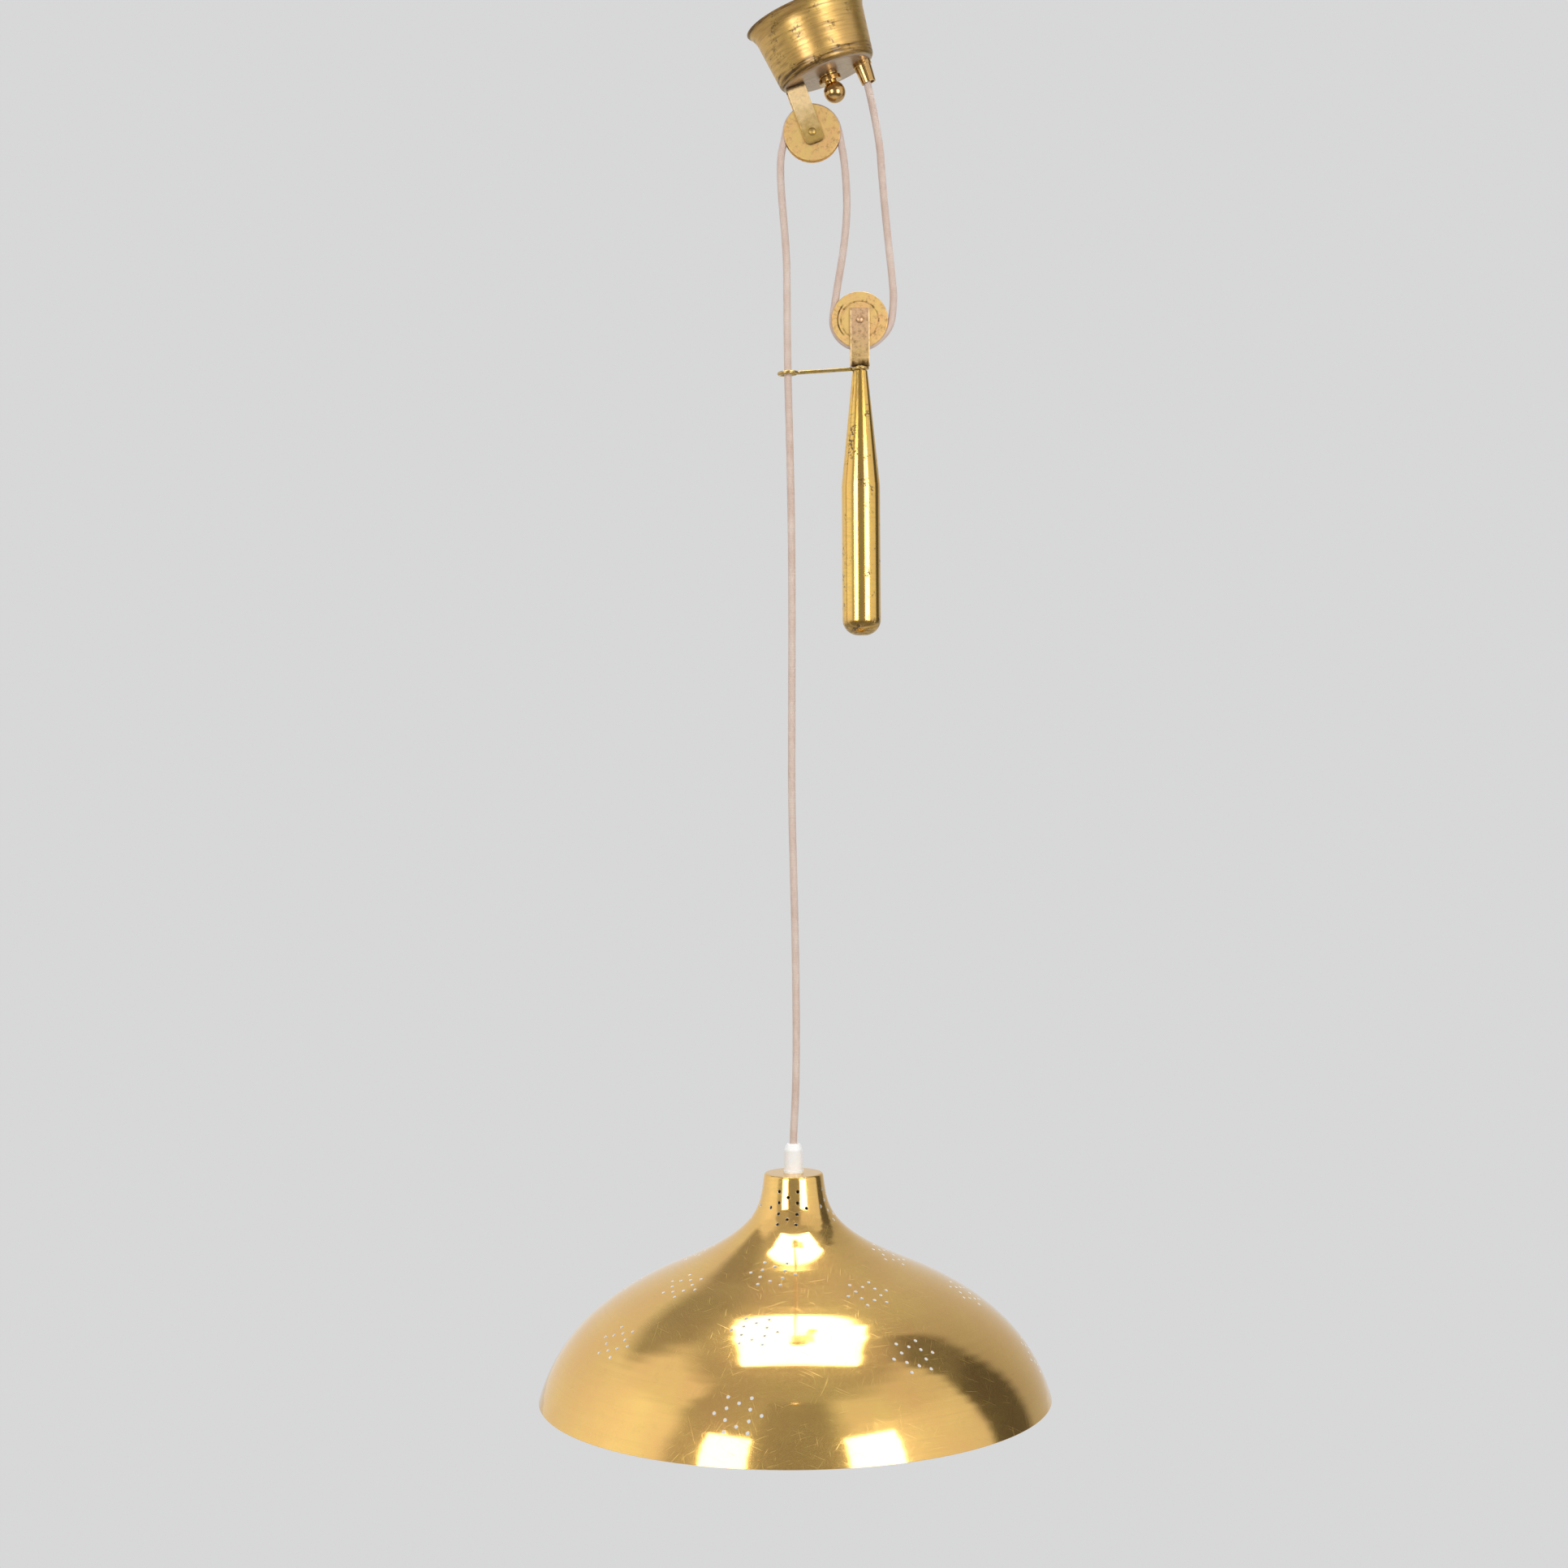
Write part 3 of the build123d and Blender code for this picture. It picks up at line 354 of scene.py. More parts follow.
def strap_brass(name, axle, lean, pale, dull, dull_at, pale_at, patina_and_shade, pale_edges, mottle):
    """Dull brass strip that changes colour along its length, with pale edges of rubbed brass and painted
    highlight, and darker ends and bends of brown patina and painted shade.
    """
    finish, tree, shader = new_finish(name)
    place = upright_place(tree, axle, (0, lean, 0))
    parts = add(tree, "ShaderNodeSeparateXYZ", {0: place})
    aside = add(tree, "ShaderNodeMath", {0: parts.outputs[0]}, operation="ABSOLUTE").outputs[0]
    height = parts.outputs[2]
    blotches = cloud(tree, place, per_metre=160.0, detail=5.0)
    grain = add(tree, "ShaderNodeMapping", {"Vector": place, "Scale": (1500.0, 1500.0, 90.0)}).outputs[0]
    drawn = add(tree, "ShaderNodeTexNoise", {"Vector": grain, "Scale": 1.0, "Detail": 3.0}).outputs[0]
    # The colour changes along the strap; on the canopy's strap this is painted light, paler towards the top.
    along = sum_of(tree, ramp(tree, height, dull_at, pale_at), ramp(tree, blotches, 0.35, 0.65, -0.2, 0.2))
    hue = blend_colours(tree, ramp(tree, along, 0.0, 1.0), dull, pale)
    darkening = ramp(tree, cloud(tree, place, per_metre=420.0, detail=4.0), 0.46, 0.72, 0.0, mottle)
    # Darker bands between given heights: brown patina and painted shade.
    for band_from, band_to in patina_and_shade:
        patina_and_shade_band = product_of(tree, ramp(tree, height, band_from, band_to), ramp(tree, blotches, 0.30, 0.50))
        darkening = sum_of(tree, darkening, patina_and_shade_band)
    darkening = product_of(tree, darkening, 0.75)
    hue = blend_colours(tree, darkening, hue, TARNISH_AND_SHADE_BROWN)
    # Pale lines along both edges: rubbed brass and painted highlight.
    edges = ramp(tree, aside, PALE_EDGE_FROM, PALE_EDGE_TO, 0.0, pale_edges)
    edges = product_of(tree, edges, ramp(tree, blotches, 0.38, 0.52))
    tree.links.new(blend_colours(tree, edges, hue, STRAP_PALE), shader.inputs["Base Color"])
    gloss = ramp(tree, drawn, 0.25, 0.75, 0.40, 0.52)
    tree.links.new(sum_of(tree, gloss, product_of(tree, darkening, 0.3)), shader.inputs["Roughness"])
    relief_on_edges(tree, shader, sum_of(tree, drawn, blotches), strength=0.12, edge=STRAP_EDGE)
    shader.inputs["Metallic"].default_value = 1.0
    return finish


# Canopy strap: painted paler towards the top as painted light, painted shadow at the top bend under the cup,
# brown patina at the lower end.
canopy_strap = strap_brass("canopy_strap_brass", TOP_WHEEL, CUP_LEAN, STRAP_PALE, STRAP_OLIVE,
                           dull_at=0.0, pale_at=0.026, patina_and_shade=((-0.0055, -0.0085), (0.0325, 0.0345)),
                           pale_edges=0.0, mottle=0.35)
# Counterweight strap: darker at its bottom bend with brown patina and painted shade; its pale edges are
# rubbed brass and painted highlight.
weight_strap = strap_brass("weight_strap_brass", LOW_WHEEL, 0.0, STRAP_ROSY, STRAP_GOLD,
                           dull_at=-0.026, pale_at=-0.004, patina_and_shade=((-0.0285, -0.0305),),
                           pale_edges=0.9, mottle=0.8)
coat(canopy_strap, "canopy_yoke", "canopy_axle")
coat(weight_strap, "weight_yoke", "weight_axle")

# Counterweight: a brass bottle spun round a cast slug and polished bright, with brown spots where the
# lacquer has let the damp in. Its stud also carries the guide, a bent brass wire with an open eye.
WEIGHT_BRASS = (0.77, 0.50, 0.105)
WEIGHT_FOOT_Z = -0.2325
WIRE_BRASS = (0.50, 0.35, 0.10)
CAST_GREY = (0.20, 0.19, 0.18)
CAST_RUST = (0.27, 0.22, 0.17)

# The foot is darker towards its bottom: brown stains, and painted shade for the dark room below that it
# reflects.
bottle_brass = brass("polished_weight_brass", WEIGHT_BRASS, roughness=0.12, axis=LOW_WHEEL, lean=0.0,
                     streaks=0.2, spots=1.1, rings=0.02, scuffs=0.1, patina_and_shade=((WEIGHT_FOOT_Z, 0.014),))
wire_brass = brass("drawn_wire_brass", WIRE_BRASS, roughness=0.24, axis=LOW_WHEEL, lean=0.0,
                   streaks=0.4, spots=0.3, rings=0.04, scuffs=0.2)
coat(bottle_brass, "weight_shell")
coat(wire_brass, "guide_wire", "weight_stud", "weight_nut")
as_cast, tree, shader = new_finish("as_cast")
place = plain_place(tree)
sand = cloud(tree, place, per_metre=500.0, detail=5.0)
tree.links.new(blend_colours(tree, sand, CAST_GREY, CAST_RUST), shader.inputs["Base Color"])
vary_gloss(tree, shader, sand, least=0.55, most=0.8)
shader.inputs["Metallic"].default_value = 0.8
coat(as_cast, "weight_core")

# Shade: a dome of brass sheet spun over a former and drawn up into a neck, polished outside and white
# inside. Six-pointed stars of drilled holes go round it in rows of four, each row of the dome half a step on.
LAMP_X = -0.019142
RIM_Z = -1.011601
SHADE_WALL = 0.0006
RIM = Vector((0.1900, 0, 0))
RIM_PULL = Vector((0.1781, 0, 0.0404))
DOME_PULL = Vector((0.1498, 0, 0.0703))
TURN = Vector((0.0913, 0, 0.0955))
THROAT_PULL = Vector((0.0231, 0, 0.1249))
NECK_PULL = Vector((0.02554, 0, 0.1410))
NECK = Vector((0.0221, 0, 0.1640))
TOP_PULL = Vector((0.0219, 0, 0.1653))
EDGE_PULL = Vector((0.0214, 0, 0.1660))
TOP_EDGE = Vector((0.0200, 0, 0.1660))
TOP_HOLE = Vector((0.00525, 0, 0.1660))
SHADE_SIDES = 200
CURVE_STEPS = 36
EDGE_STEPS = 6
HOLE_R = 0.00125
HOLE_SIDES = 14
OUTER_FACING = 0.5
TOP_FACING = -0.2
BRASS_SIDE, LACQUER_SIDE = 0, 1
DRILL_LONG = 0.006
STAR_HOLES = 12
STAR_POINT_R = 0.0140
STAR_NOTCH_R = STAR_POINT_R / 3**0.5
DOME_SPREAD = 1.18
NECK_SPREAD = 1.0
FRONT_STARS = (-13, 86, 167, 257)
BETWEEN_STARS = (33, 123, 213, 302)
NECK_STARS = (-10, 80, 170, 260)
STAR_ROWS = [
    (0.0310, FRONT_STARS, DOME_SPREAD),
    (0.0592, BETWEEN_STARS, DOME_SPREAD),
    (0.0760, FRONT_STARS, DOME_SPREAD),
    (0.0928, BETWEEN_STARS, DOME_SPREAD),
    (0.1045, FRONT_STARS, DOME_SPREAD),
    (0.1430, NECK_STARS, NECK_SPREAD),
]
SHADE_BRASS = (0.80, 0.51, 0.135)
LACQUER_WHITE = (0.88, 0.875, 0.86)
LACQUER_AGED = (0.84, 0.83, 0.80)

dome = interpolate_bezier(RIM, RIM_PULL, DOME_PULL, TURN, CURVE_STEPS)
throat = interpolate_bezier(TURN, THROAT_PULL, NECK_PULL, NECK, CURVE_STEPS)
edge = interpolate_bezier(NECK, TOP_PULL, EDGE_PULL, TOP_EDGE, EDGE_STEPS)
wall = dome + throat[1:]
outline = wall + edge[1:] + [TOP_HOLE]
heights = [spot.z for spot in wall]
runs = [0.0]
for low, high in zip(wall, wall[1:]):
    runs.append(runs[-1] + (high - low).length)


def wall_at(measures, value):
    """The wall's place and outward slope where a measure along it has the given value."""
    step = next(i for i in range(1, len(wall)) if measures[i] >= value or i == len(wall) - 1)
    share = (value - measures[step - 1]) / (measures[step] - measures[step - 1])
    way = (wall[step] - wall[step - 1]).normalized()
    return wall[step - 1].lerp(wall[step], share), Vector((way.z, 0, -way.x))


def place_mesh(name, build):
    """A new mesh object at the origin, with its place in its mesh."""
    mesh = bpy.data.meshes.new(name)
    build.to_mesh(mesh)
    build.free()
    piece = bpy.data.objects.new(name, mesh)
    bpy.context.scene.collection.objects.link(piece)
    return piece


build = bmesh.new()
lamp_axis = Vector((LAMP_X, 0, RIM_Z))
chain = [build.verts.new(lamp_axis + spot) for spot in outline]
for low, high in zip(chain, chain[1:]):
    build.edges.new((low, high))
bmesh.ops.spin(build, geom=build.verts[:] + build.edges[:], cent=lamp_axis, axis=(0, 0, 1), angle=2 * pi,
               steps=SHADE_SIDES, use_merge=True)
bmesh.ops.remove_doubles(build, verts=build.verts[:], dist=1e-6)
bmesh.ops.recalc_face_normals(build, faces=build.faces[:])
build.faces.ensure_lookup_table()
middle = build.faces[0].calc_center_median() - lamp_axis
if build.faces[0].normal.dot(Vector((middle.x, middle.y, 0))) < 0:
    bmesh.ops.reverse_faces(build, faces=build.faces[:])
blank = place_mesh("shade_blank", build)
thicken = blank.modifiers.new("wall", "SOLIDIFY")
thicken.thickness = SHADE_WALL
thicken.offset = -1
thicken.use_even_offset = True

build = bmesh.new()
for height, stars, spread in STAR_ROWS:
    middle_run = runs[next(i for i, spot in enumerate(wall) if spot.z >= height)]
    for star in stars:
        for hole in range(STAR_HOLES):
            turn = 2 * pi * hole / STAR_HOLES
            reach = STAR_POINT_R if hole % 2 == 0 else STAR_NOTCH_R
            spot, slope = wall_at(runs, middle_run + reach * sin(turn))
            aside = reach * cos(turn) * spread / spot.x
            facing = Matrix.Rotation(radians(star) + aside - pi / 2, 4, "Z")
            drill = facing @ slope.to_track_quat("Z", "Y").to_matrix().to_4x4()
            drill.translation = lamp_axis + facing @ spot
            bmesh.ops.create_cone(build, cap_ends=True, segments=HOLE_SIDES, radius1=HOLE_R, radius2=HOLE_R,
                                  depth=DRILL_LONG, matrix=drill)
drills = place_mesh("shade_drills", build)
pierce = blank.modifiers.new("holes", "BOOLEAN")
pierce.object = drills
pierce.operation = "DIFFERENCE"
pierce.solver = "MANIFOLD"
pierced = bpy.data.meshes.new_from_object(blank.evaluated_get(bpy.context.evaluated_depsgraph_get()))
shade = bpy.data.objects.new("pierced_shade", pierced)
bpy.context.scene.collection.objects.link(shade)
bpy.data.objects.remove(blank)
bpy.data.objects.remove(drills)

pierced.materials.clear()
shade_brass = brass("polished_shade_brass", SHADE_BRASS, roughness=0.08, axis=lamp_axis, lean=0.0,
                    streaks=0.06, spots=0.06, rings=0.02, scuffs=0.42, haze_rough=0.28)
pierced.materials.append(shade_brass)
lacquer, tree, shader = new_finish("white_lacquer")
place = plain_place(tree)
aged = ramp(tree, cloud(tree, place, per_metre=18.0, detail=4.0), 0.35, 0.7)
tree.links.new(blend_colours(tree, aged, LACQUER_WHITE, LACQUER_AGED), shader.inputs["Base Color"])
vary_gloss(tree, shader, cloud(tree, place, per_metre=400.0), least=0.30, most=0.42)
pierced.materials.append(lacquer)
corner_normals = []
for face in pierced.polygons:
    face.use_smooth = True
    middle = face.center - lamp_axis
    flat_top = middle.z > NECK.z
    spot, slope = wall_at(heights, min(max(middle.z, 0.0), NECK.z))
    outward = Vector((middle.x, middle.y, 0)).normalized() * slope.x + Vector((0, 0, slope.z))
    facing = face.normal.dot(outward)
    outside = facing > OUTER_FACING or (flat_top and face.normal.z > TOP_FACING)
    face.material_index = BRASS_SIDE if outside else LACQUER_SIDE
    for corner in face.loop_indices:
        at = pierced.vertices[pierced.loops[corner].vertex_index].co - lamp_axis
        if flat_top or abs(facing) < OUTER_FACING:
            corner_normals.append(face.normal.copy())
        else:
            spot, slope = wall_at(heights, min(max(at.z, 0.0), NECK.z))
            smooth = Vector((at.x, at.y, 0)).normalized() * slope.x + Vector((0, 0, slope.z))
            corner_normals.append(smooth if facing > 0 else -smooth)
pierced.normals_split_custom_set(corner_normals)
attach(shade, "lamp")
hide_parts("shade")

# Lamp holder and bulb, up inside the shade: a dark moulded cap and body on the threaded tube, a brass
# screw shell and contacts, and an opal bulb with a rolled aluminium cap.
BAKELITE = (0.035, 0.026, 0.022)
BAKELITE_FLOW = (0.07, 0.045, 0.03)
CONTACT_BRASS = (0.72, 0.50, 0.20)
ROLLED_ALUMINIUM = (0.74, 0.74, 0.75)
DULL_ALUMINIUM = (0.62, 0.62, 0.63)
OPAL = (0.92, 0.91, 0.88)
OPAL_WARM = (0.90, 0.87, 0.82)

bakelite, tree, shader = new_finish("dark_bakelite")
place = plain_place(tree)
flow = cloud(tree, place, per_metre=160.0, detail=5.0)
swirl = blend_colours(tree, ramp(tree, flow, 0.35, 0.7), BAKELITE, BAKELITE_FLOW)
tree.links.new(swirl, shader.inputs["Base Color"])
vary_gloss(tree, shader, flow, least=0.2, most=0.32)
coat(bakelite, "holder_cap", "holder_body")
stamped_brass = brass("contact_brass", CONTACT_BRASS, roughness=0.26, axis=lamp_axis, lean=0.0,
                      streaks=0.2, spots=0.2, rings=0.05, scuffs=0.1)
coat(stamped_brass, "screw_shell", "centre_contact", "bulb_contact", "terminal_screws")

rolled, tree, shader = new_finish("rolled_aluminium")
place = plain_place(tree)
rolls = cloud(tree, place, per_metre=800.0)
tree.links.new(blend_colours(tree, rolls, ROLLED_ALUMINIUM, DULL_ALUMINIUM), shader.inputs["Base Color"])
vary_gloss(tree, shader, rolls, least=0.25, most=0.4)
shader.inputs["Metallic"].default_value = 1.0
coat(rolled, "bulb_cap")

opal, tree, shader = new_finish("opal_glass")
place = plain_place(tree)
warmth = cloud(tree, place, per_metre=30.0)
tree.links.new(blend_colours(tree, warmth, OPAL, OPAL_WARM), shader.inputs["Base Color"])
vary_gloss(tree, shader, cloud(tree, place, per_metre=200.0), least=0.10, most=0.16)
shader.inputs["Subsurface Weight"].default_value = 0.3
shader.inputs["Subsurface Scale"].default_value = 0.004
coat(opal, "bulb_glass")

# Flex: one length of round cord with a braided rose-beige cover. It leaves the lamp through the grip,
# goes over the canopy's pulley, under the counterweight's and up into the gland, and keeps the bends it
# has taken. It is in two pieces that meet under the strap.
CORD_D = 0.0055
PITCH_R = 0.01925
LOW_PITCH_R = 0.0198
HOLDER_END = Vector((LAMP_X, 0, -0.864201))
LAMP_STRAND = [
    Vector((LAMP_X, 0, -0.8360)), Vector((-0.0191, 0, -0.8180)), Vector((-0.0174, 0, -0.7930)),
    Vector((-0.0163, 0, -0.7550)), Vector((-0.0164, 0, -0.6850)), Vector((-0.0176, 0, -0.6200)),
    Vector((-0.0186, 0, -0.5650)), Vector((-0.0178, 0, -0.4900)), Vector((-0.0170, 0, -0.3900)),
    Vector((-0.0178, 0, -0.3150)), Vector((-0.0192, 0, -0.2530)), Vector((-0.0193, 0, -0.1899)),
    Vector((-0.0193, 0, -0.1649)), Vector((-0.0247, 0, -0.0999)),
]
LEFT_FALL = [Vector((0.0249, 0, -0.1039)), Vector((0.0258, 0, -0.1459))]
RIGHT_FALL = [
    Vector((0.0575, 0, -0.2190)), Vector((0.0595, 0, -0.2020)), Vector((0.0590, 0, -0.1878)),
    Vector((0.0546, 0, -0.1458)), Vector((0.0513, 0, -0.1078)), Vector((0.0500, 0, -0.0838)),
]
GLAND_BEND = Vector((0.0404, 0, -0.0347))
GLAND_END = Vector((0.033427, 0, -0.015822))
WRAP_STEP = 30
LAMP_WRAP = (185, 155, 125)
WEIGHT_WRAP = (95, 65, 35, 5)
LOW_WRAP = (165, 195, 225, 255, 285, 315)
UNDER_STRAP = 110
CORD_SIDES = 20
ROUTE_STEPS = 20
BRAID_STRANDS = 10
BRAIDS_PER_METRE = 560
COVER_RELIEF = 0.45
COVER_ROSE = (0.63, 0.47, 0.39)
COVER_PALE = (0.73, 0.60, 0.52)
COVER_SHADE = (0.40, 0.28, 0.23)
COVER_FLUFF = (0.88, 0.79, 0.73)


def wrap_corner(wheel, angle, pitch):
    """A corner of the outline of equal sides drawn round a pulley's pitch circle."""
    reach = pitch / cos(radians(WRAP_STEP / 2))
    return wheel + Vector((cos(radians(angle)), 0, sin(radians(angle)))) * reach


def smooth_run(points):
    """Points read along the smooth spline that a route's points control."""
    curve = bpy.data.curves.new("route", "CURVE")
    curve.dimensions = "3D"
    curve.resolution_u = ROUTE_STEPS
    spline = curve.splines.new("NURBS")
    spline.points.add(len(points) - 1)
    for control, point in zip(spline.points, points):
        control.co = (*point, 1)
    spline.order_u = 3
    spline.use_endpoint_u = True
    holder = bpy.data.objects.new("route", curve)
    bpy.context.scene.collection.objects.link(holder)
    line = bpy.data.meshes.new_from_object(holder.evaluated_get(bpy.context.evaluated_depsgraph_get()))
    path = [vertex.co.copy() for vertex in line.vertices]
    bpy.data.objects.remove(holder)
    return path


def braided_tube(name, path, finish):
    """A round cord along a path that stays in the plane of the pulleys, with its length on its UV map."""
    build = bmesh.new()
    layer = build.loops.layers.uv.new("UVMap")
    ring = bmesh.ops.create_circle(build, segments=CORD_SIDES, radius=CORD_D / 2)["verts"]
    across = Vector((0, 1, 0))
    rings, lengths = [], [0.0]
    for step, spot in enumerate(path):
        before, after = path[max(step - 1, 0)], path[min(step + 1, len(path) - 1)]
        way = (after - before).normalized()
        turn = Matrix((across, way.cross(across), way)).transposed()
        if step:
            lengths.append(lengths[-1] + (spot - path[step - 1]).length)
            sides = [build.edges.get(pair) for pair in zip(ring, ring[1:] + ring[:1])]
            grown = bmesh.ops.extrude_edge_only(build, edges=sides)["geom"]
            fresh = {item for item in grown if isinstance(item, bmesh.types.BMVert)}
            ring = [next(edge.other_vert(vert) for edge in vert.link_edges if edge.other_vert(vert) in fresh)
                    for vert in ring]
        for side, vert in enumerate(ring):
            angle = 2 * pi * side / CORD_SIDES
            vert.co = spot + turn @ Vector((cos(angle), sin(angle), 0)) * CORD_D / 2
        rings.append(ring)
    spots = {vert: (step, side) for step, row in enumerate(rings) for side, vert in enumerate(row)}
    for face in build.faces:
        sides = [spots[loop.vert][1] for loop in face.loops]
        for loop, side in zip(face.loops, sides):
            past_seam = side == 0 and CORD_SIDES - 1 in sides
            loop[layer].uv = ((CORD_SIDES if past_seam else side) / CORD_SIDES, lengths[spots[loop.vert][0]])
        face.smooth = True
    for row in (rings[0], rings[-1]):
        build.faces.new(row)
    bmesh.ops.recalc_face_normals(build, faces=build.faces[:])
    tube = place_mesh(name, build)
    tube.data.materials.append(finish)
    return tube, lengths[-1]


cover, tree, shader = new_finish("braided_cover")
uv_parts = add(tree, "ShaderNodeSeparateXYZ", {0: add(tree, "ShaderNodeUVMap", uv_map="UVMap").outputs[0]})
turns = product_of(tree, uv_parts.outputs[0], 2 * pi * BRAID_STRANDS)
along = product_of(tree, uv_parts.outputs[1], 2 * pi * BRAIDS_PER_METRE)
slant = add(tree, "ShaderNodeMath", {0: sum_of(tree, turns, along)}, operation="SINE").outputs[0]
back = add(tree, "ShaderNodeMath", {0: turns, 1: along}, operation="SUBTRACT").outputs[0]
counter = add(tree, "ShaderNodeMath", {0: back}, operation="SINE").outputs[0]
weave = product_of(tree, slant, counter)
place = plain_place(tree)
wear = cloud(tree, place, per_metre=45.0, detail=5.0)
fluff = cloud(tree, place, per_metre=2600.0, detail=2.0)
hue = blend_colours(tree, ramp(tree, wear, 0.36, 0.66), COVER_ROSE, COVER_PALE)
# The weave's low places are painted darker: painted shade between the strands.
hue = blend_colours(tree, ramp(tree, weave, 0.0, -0.9, 0.0, 0.5), hue, COVER_SHADE)
hue = blend_colours(tree, ramp(tree, fluff, 0.60, 0.75, 0.0, 0.35), hue, COVER_FLUFF)
tree.links.new(hue, shader.inputs["Base Color"])
relief = sum_of(tree, weave, product_of(tree, fluff, 0.6))
bump = {"Strength": COVER_RELIEF, "Distance": RELIEF_DEPTH, "Height": relief}
tree.links.new(add(tree, "ShaderNodeBump", bump).outputs[0], shader.inputs["Normal"])
shader.inputs["Roughness"].default_value = 0.72
shader.inputs["Sheen Weight"].default_value = 0.25
shader.inputs["Sheen Roughness"].default_value = 0.5

join_way = Vector((cos(radians(UNDER_STRAP)), 0, sin(radians(UNDER_STRAP))))
cord_join = TOP_WHEEL + join_way * PITCH_R
lamp_points = [HOLDER_END, *LAMP_STRAND]
lamp_points += [wrap_corner(TOP_WHEEL, angle, PITCH_R) for angle in LAMP_WRAP]
lamp_points += [cord_join]
weight_points = [cord_join]
weight_points += [wrap_corner(TOP_WHEEL, angle, PITCH_R) for angle in WEIGHT_WRAP]
weight_points += LEFT_FALL
weight_points += [wrap_corner(LOW_WHEEL, angle, LOW_PITCH_R) for angle in LOW_WRAP]
weight_points += [*RIGHT_FALL, GLAND_BEND, GLAND_END]

lamp_path = smooth_run(lamp_points)
lamp_flex, lamp_length = braided_tube("lamp_flex", lamp_path, cover)
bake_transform(lamp_flex)
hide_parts("cord_lamp_tail", "cord_lamp_strand", "cord_canopy_loop")

weight_path = smooth_run(weight_points)
weight_flex, weight_length = braided_tube("weight_flex", weight_path, cover)
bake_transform(weight_flex)
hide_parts("cord_left_fall", "cord_weight_loop", "cord_right_fall", "cord_gland_tail")

# Studio: a wide sheet of pale paper below the lamp, two upright soft panels beside the camera, one
# overhead and a ceiling bulb, in a room whose walls, low and high, are given by bearing and brightness.
# Bearings are in degrees, nought towards the camera and growing to the right.
FLOOR_Z = -1.9
FLOOR_HALF = 6.0
SHEET_EDGE = (1.0, 2.1)
NEAR_EDGE = (-0.4, -0.9)
WALL_JOIN = (0.56, 0.66)
ROOF_JOIN = (0.82, 0.90)
PAPER = (0.70, 0.70, 0.71)
PAPER_GREY = (0.685, 0.685, 0.69)
PAPER_GLOW = (0.06, 0.06, 0.06)
NEAR_FLOOR = (0.24, 0.23, 0.22)
ROOF_GREY = (0.52, 0.52, 0.52)
FILL_GREY = (0.50, 0.50, 0.50)
ROOM_LOW = [(-180, 0.75), (-130, 0.90), (-86, 1.20), (-64, 1.10), (-56, 0.55), (-30, 0.33), (18, 0.36),
            (44, 1.05), (93, 0.90), (98, 0.12), (121, 0.12), (128, 0.50), (180, 0.75)]
ROOM_HIGH = [(-180, 0.70), (-155, 0.35), (-125, 0.40), (-112, 1.00), (-68, 1.00), (-60, 0.50), (-22, 0.56),
             (-15, 0.40), (16, 0.35), (30, 0.90), (97, 0.80), (102, 0.22), (127, 0.20), (132, 0.55),
             (180, 0.70)]
PANEL_RADIANCE = 6.2
BULB_WARM = (1.0, 0.78, 0.45)
MID_LAMP = (LAMP_X, 0, -0.45)

build = bmesh.new()
bmesh.ops.create_grid(build, x_segments=1, y_segments=1, size=FLOOR_HALF,
                      matrix=Matrix.Translation((0, 0, FLOOR_Z)))
floor = place_mesh("floor", build)
paper, tree, shader = new_finish("pale_paper")
place = plain_place(tree)
beyond = ramp(tree, from_axis(tree, place)[1], *SHEET_EDGE)
tree.links.new(blend_colours(tree, beyond, PAPER, (0, 0, 0)), shader.inputs["Base Color"])
nearer = ramp(tree, add(tree, "ShaderNodeSeparateXYZ", {0: place}).outputs[1], *NEAR_EDGE)
unseen = ramp(tree, add(tree, "ShaderNodeLightPath").outputs["Is Camera Ray"], 1.0, 0.0)
glow = blend_colours(tree, beyond, PAPER_GLOW, PAPER_GREY)
glow = blend_colours(tree, product_of(tree, nearer, unseen), glow, NEAR_FLOOR)
tree.links.new(glow, shader.inputs["Emission Color"])
shader.inputs["Emission Strength"].default_value = 1.0
shader.inputs["Roughness"].default_value = 1.0
shader.inputs["Specular IOR Level"].default_value = 0.0
floor.data.materials.append(paper)

room = bpy.data.worlds.new("studio")
bpy.context.scene.world = room
room.use_nodes = True
tree = room.node_tree
way = add(tree, "ShaderNodeSeparateXYZ", {0: add(tree, "ShaderNodeTexCoord").outputs["Generated"]})
nearer = product_of(tree, way.outputs[1], -1.0)
bearing = add(tree, "ShaderNodeMath", {0: way.outputs[0], 1: nearer}, operation="ARCTAN2").outputs[0]
bands = []
for bearings in (ROOM_LOW, ROOM_HIGH):
    band = add(tree, "ShaderNodeValToRGB", {0: ramp(tree, bearing, -pi, pi)})
    stops = band.color_ramp.elements
    for degrees, brightness in bearings[1:-1]:
        stops.new((degrees + 180) / 360)
    for stop, (degrees, brightness) in zip(stops, bearings):
        stop.position = (degrees + 180) / 360
        stop.color = (brightness, brightness, brightness, 1)
    bands.append(band.outputs[0])
lit = blend_colours(tree, ramp(tree, way.outputs[2], *WALL_JOIN), *bands)
lit = blend_colours(tree, ramp(tree, way.outputs[2], *ROOF_JOIN), lit, ROOF_GREY)
rays = add(tree, "ShaderNodeLightPath")
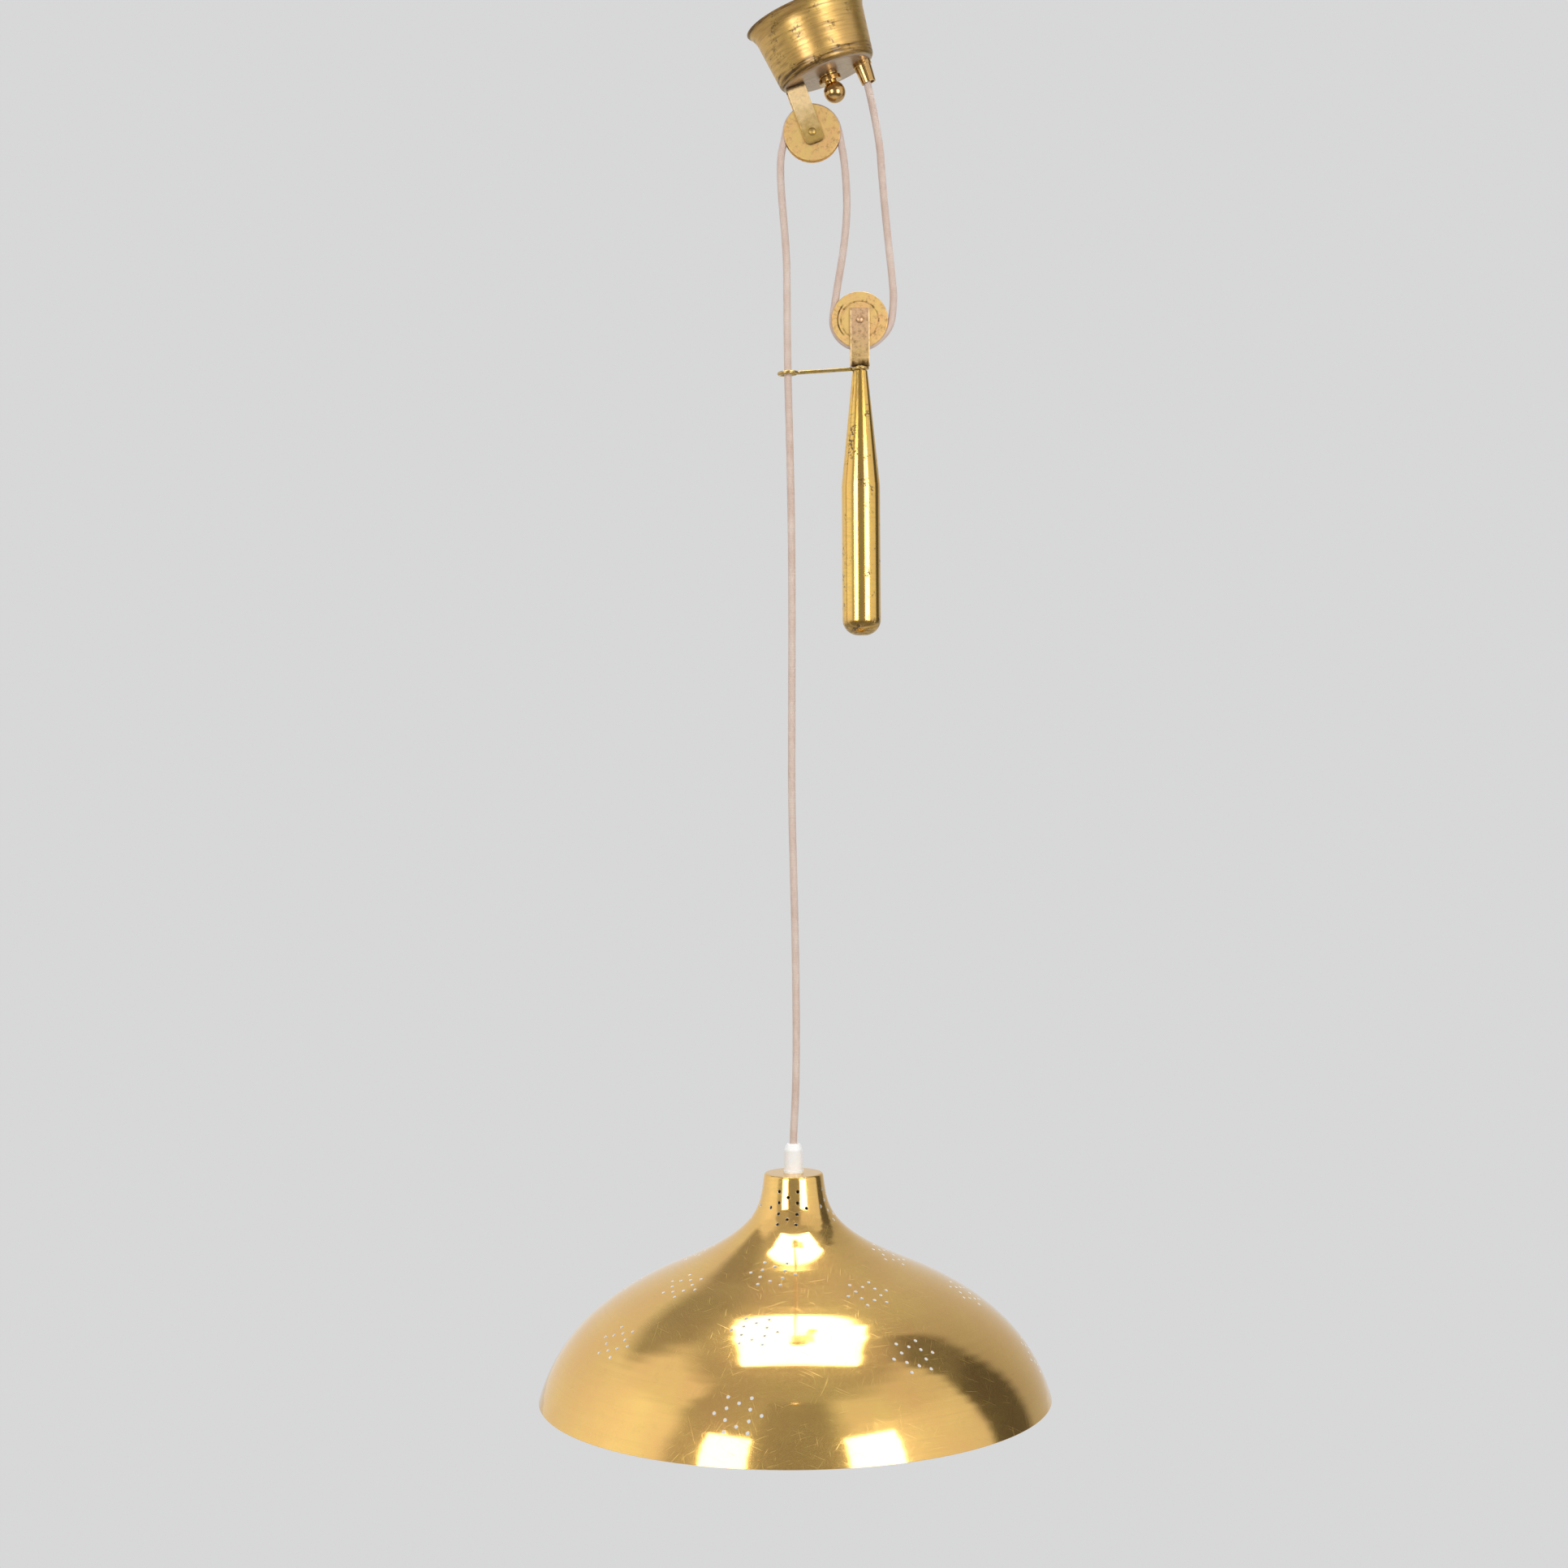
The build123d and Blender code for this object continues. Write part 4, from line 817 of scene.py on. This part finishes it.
lit = blend_colours(tree, rays.outputs["Is Diffuse Ray"], lit, FILL_GREY)
lit = blend_colours(tree, rays.outputs["Is Camera Ray"], lit, PAPER_GREY)
sky = tree.nodes["Background"]
tree.links.new(lit, sky.inputs["Color"])
sky.inputs["Strength"].default_value = 1.0


def soft_panel(name, place, aim, width, height):
    """A soft box that faces a point, as bright over its area as the others."""
    panel = bpy.data.lights.new(name, "AREA")
    panel.shape = "RECTANGLE"
    panel.size = width
    panel.size_y = height
    panel.energy = PANEL_RADIANCE * pi * width * height
    lamp = bpy.data.objects.new(name, panel)
    lamp.location = place
    lamp.rotation_euler = (Vector(aim) - Vector(place)).to_track_quat("-Z", "Y").to_euler()
    lamp.visible_camera = False
    bpy.context.scene.collection.objects.link(lamp)


soft_panel("left_panel", (-1.16, -1.89, -0.18), aim=MID_LAMP, width=0.80, height=1.15)
soft_panel("right_panel", (1.25, -1.83, -0.18), aim=MID_LAMP, width=0.95, height=1.15)
soft_panel("top_panel", (0.04, 0.21, 1.07), aim=(0.04, 0.21, -0.95), width=1.34, height=0.98)
soft_panel("ceiling_bulb", (-0.02, -1.40, 1.05), aim=(LAMP_X, 0, -0.90), width=0.05, height=0.05)
bpy.data.lights["ceiling_bulb"].color = BULB_WARM

# Camera: level with the middle of the lamp, half a metre above the shade's rim. It looks down one degree
# and is turned a little about its own axis.
CAMERA_PLACE = (-0.02413, -1.824, -0.525)
CAMERA_DOWN = radians(1.0)
CAMERA_ROLL = radians(-0.42)
LENS = 56.5
SENSOR = 36.0

eye = bpy.data.cameras.new("camera")
eye.lens = LENS
eye.sensor_width = SENSOR
camera = bpy.data.objects.new("camera", eye)
camera.location = CAMERA_PLACE
aim = Euler((pi / 2 - CAMERA_DOWN, 0, 0)).to_matrix() @ Matrix.Rotation(CAMERA_ROLL, 3, "Z")
camera.rotation_euler = aim.to_euler()
bpy.context.scene.collection.objects.link(camera)
bpy.context.scene.camera = camera
bpy.context.scene.view_settings.view_transform = "Standard"
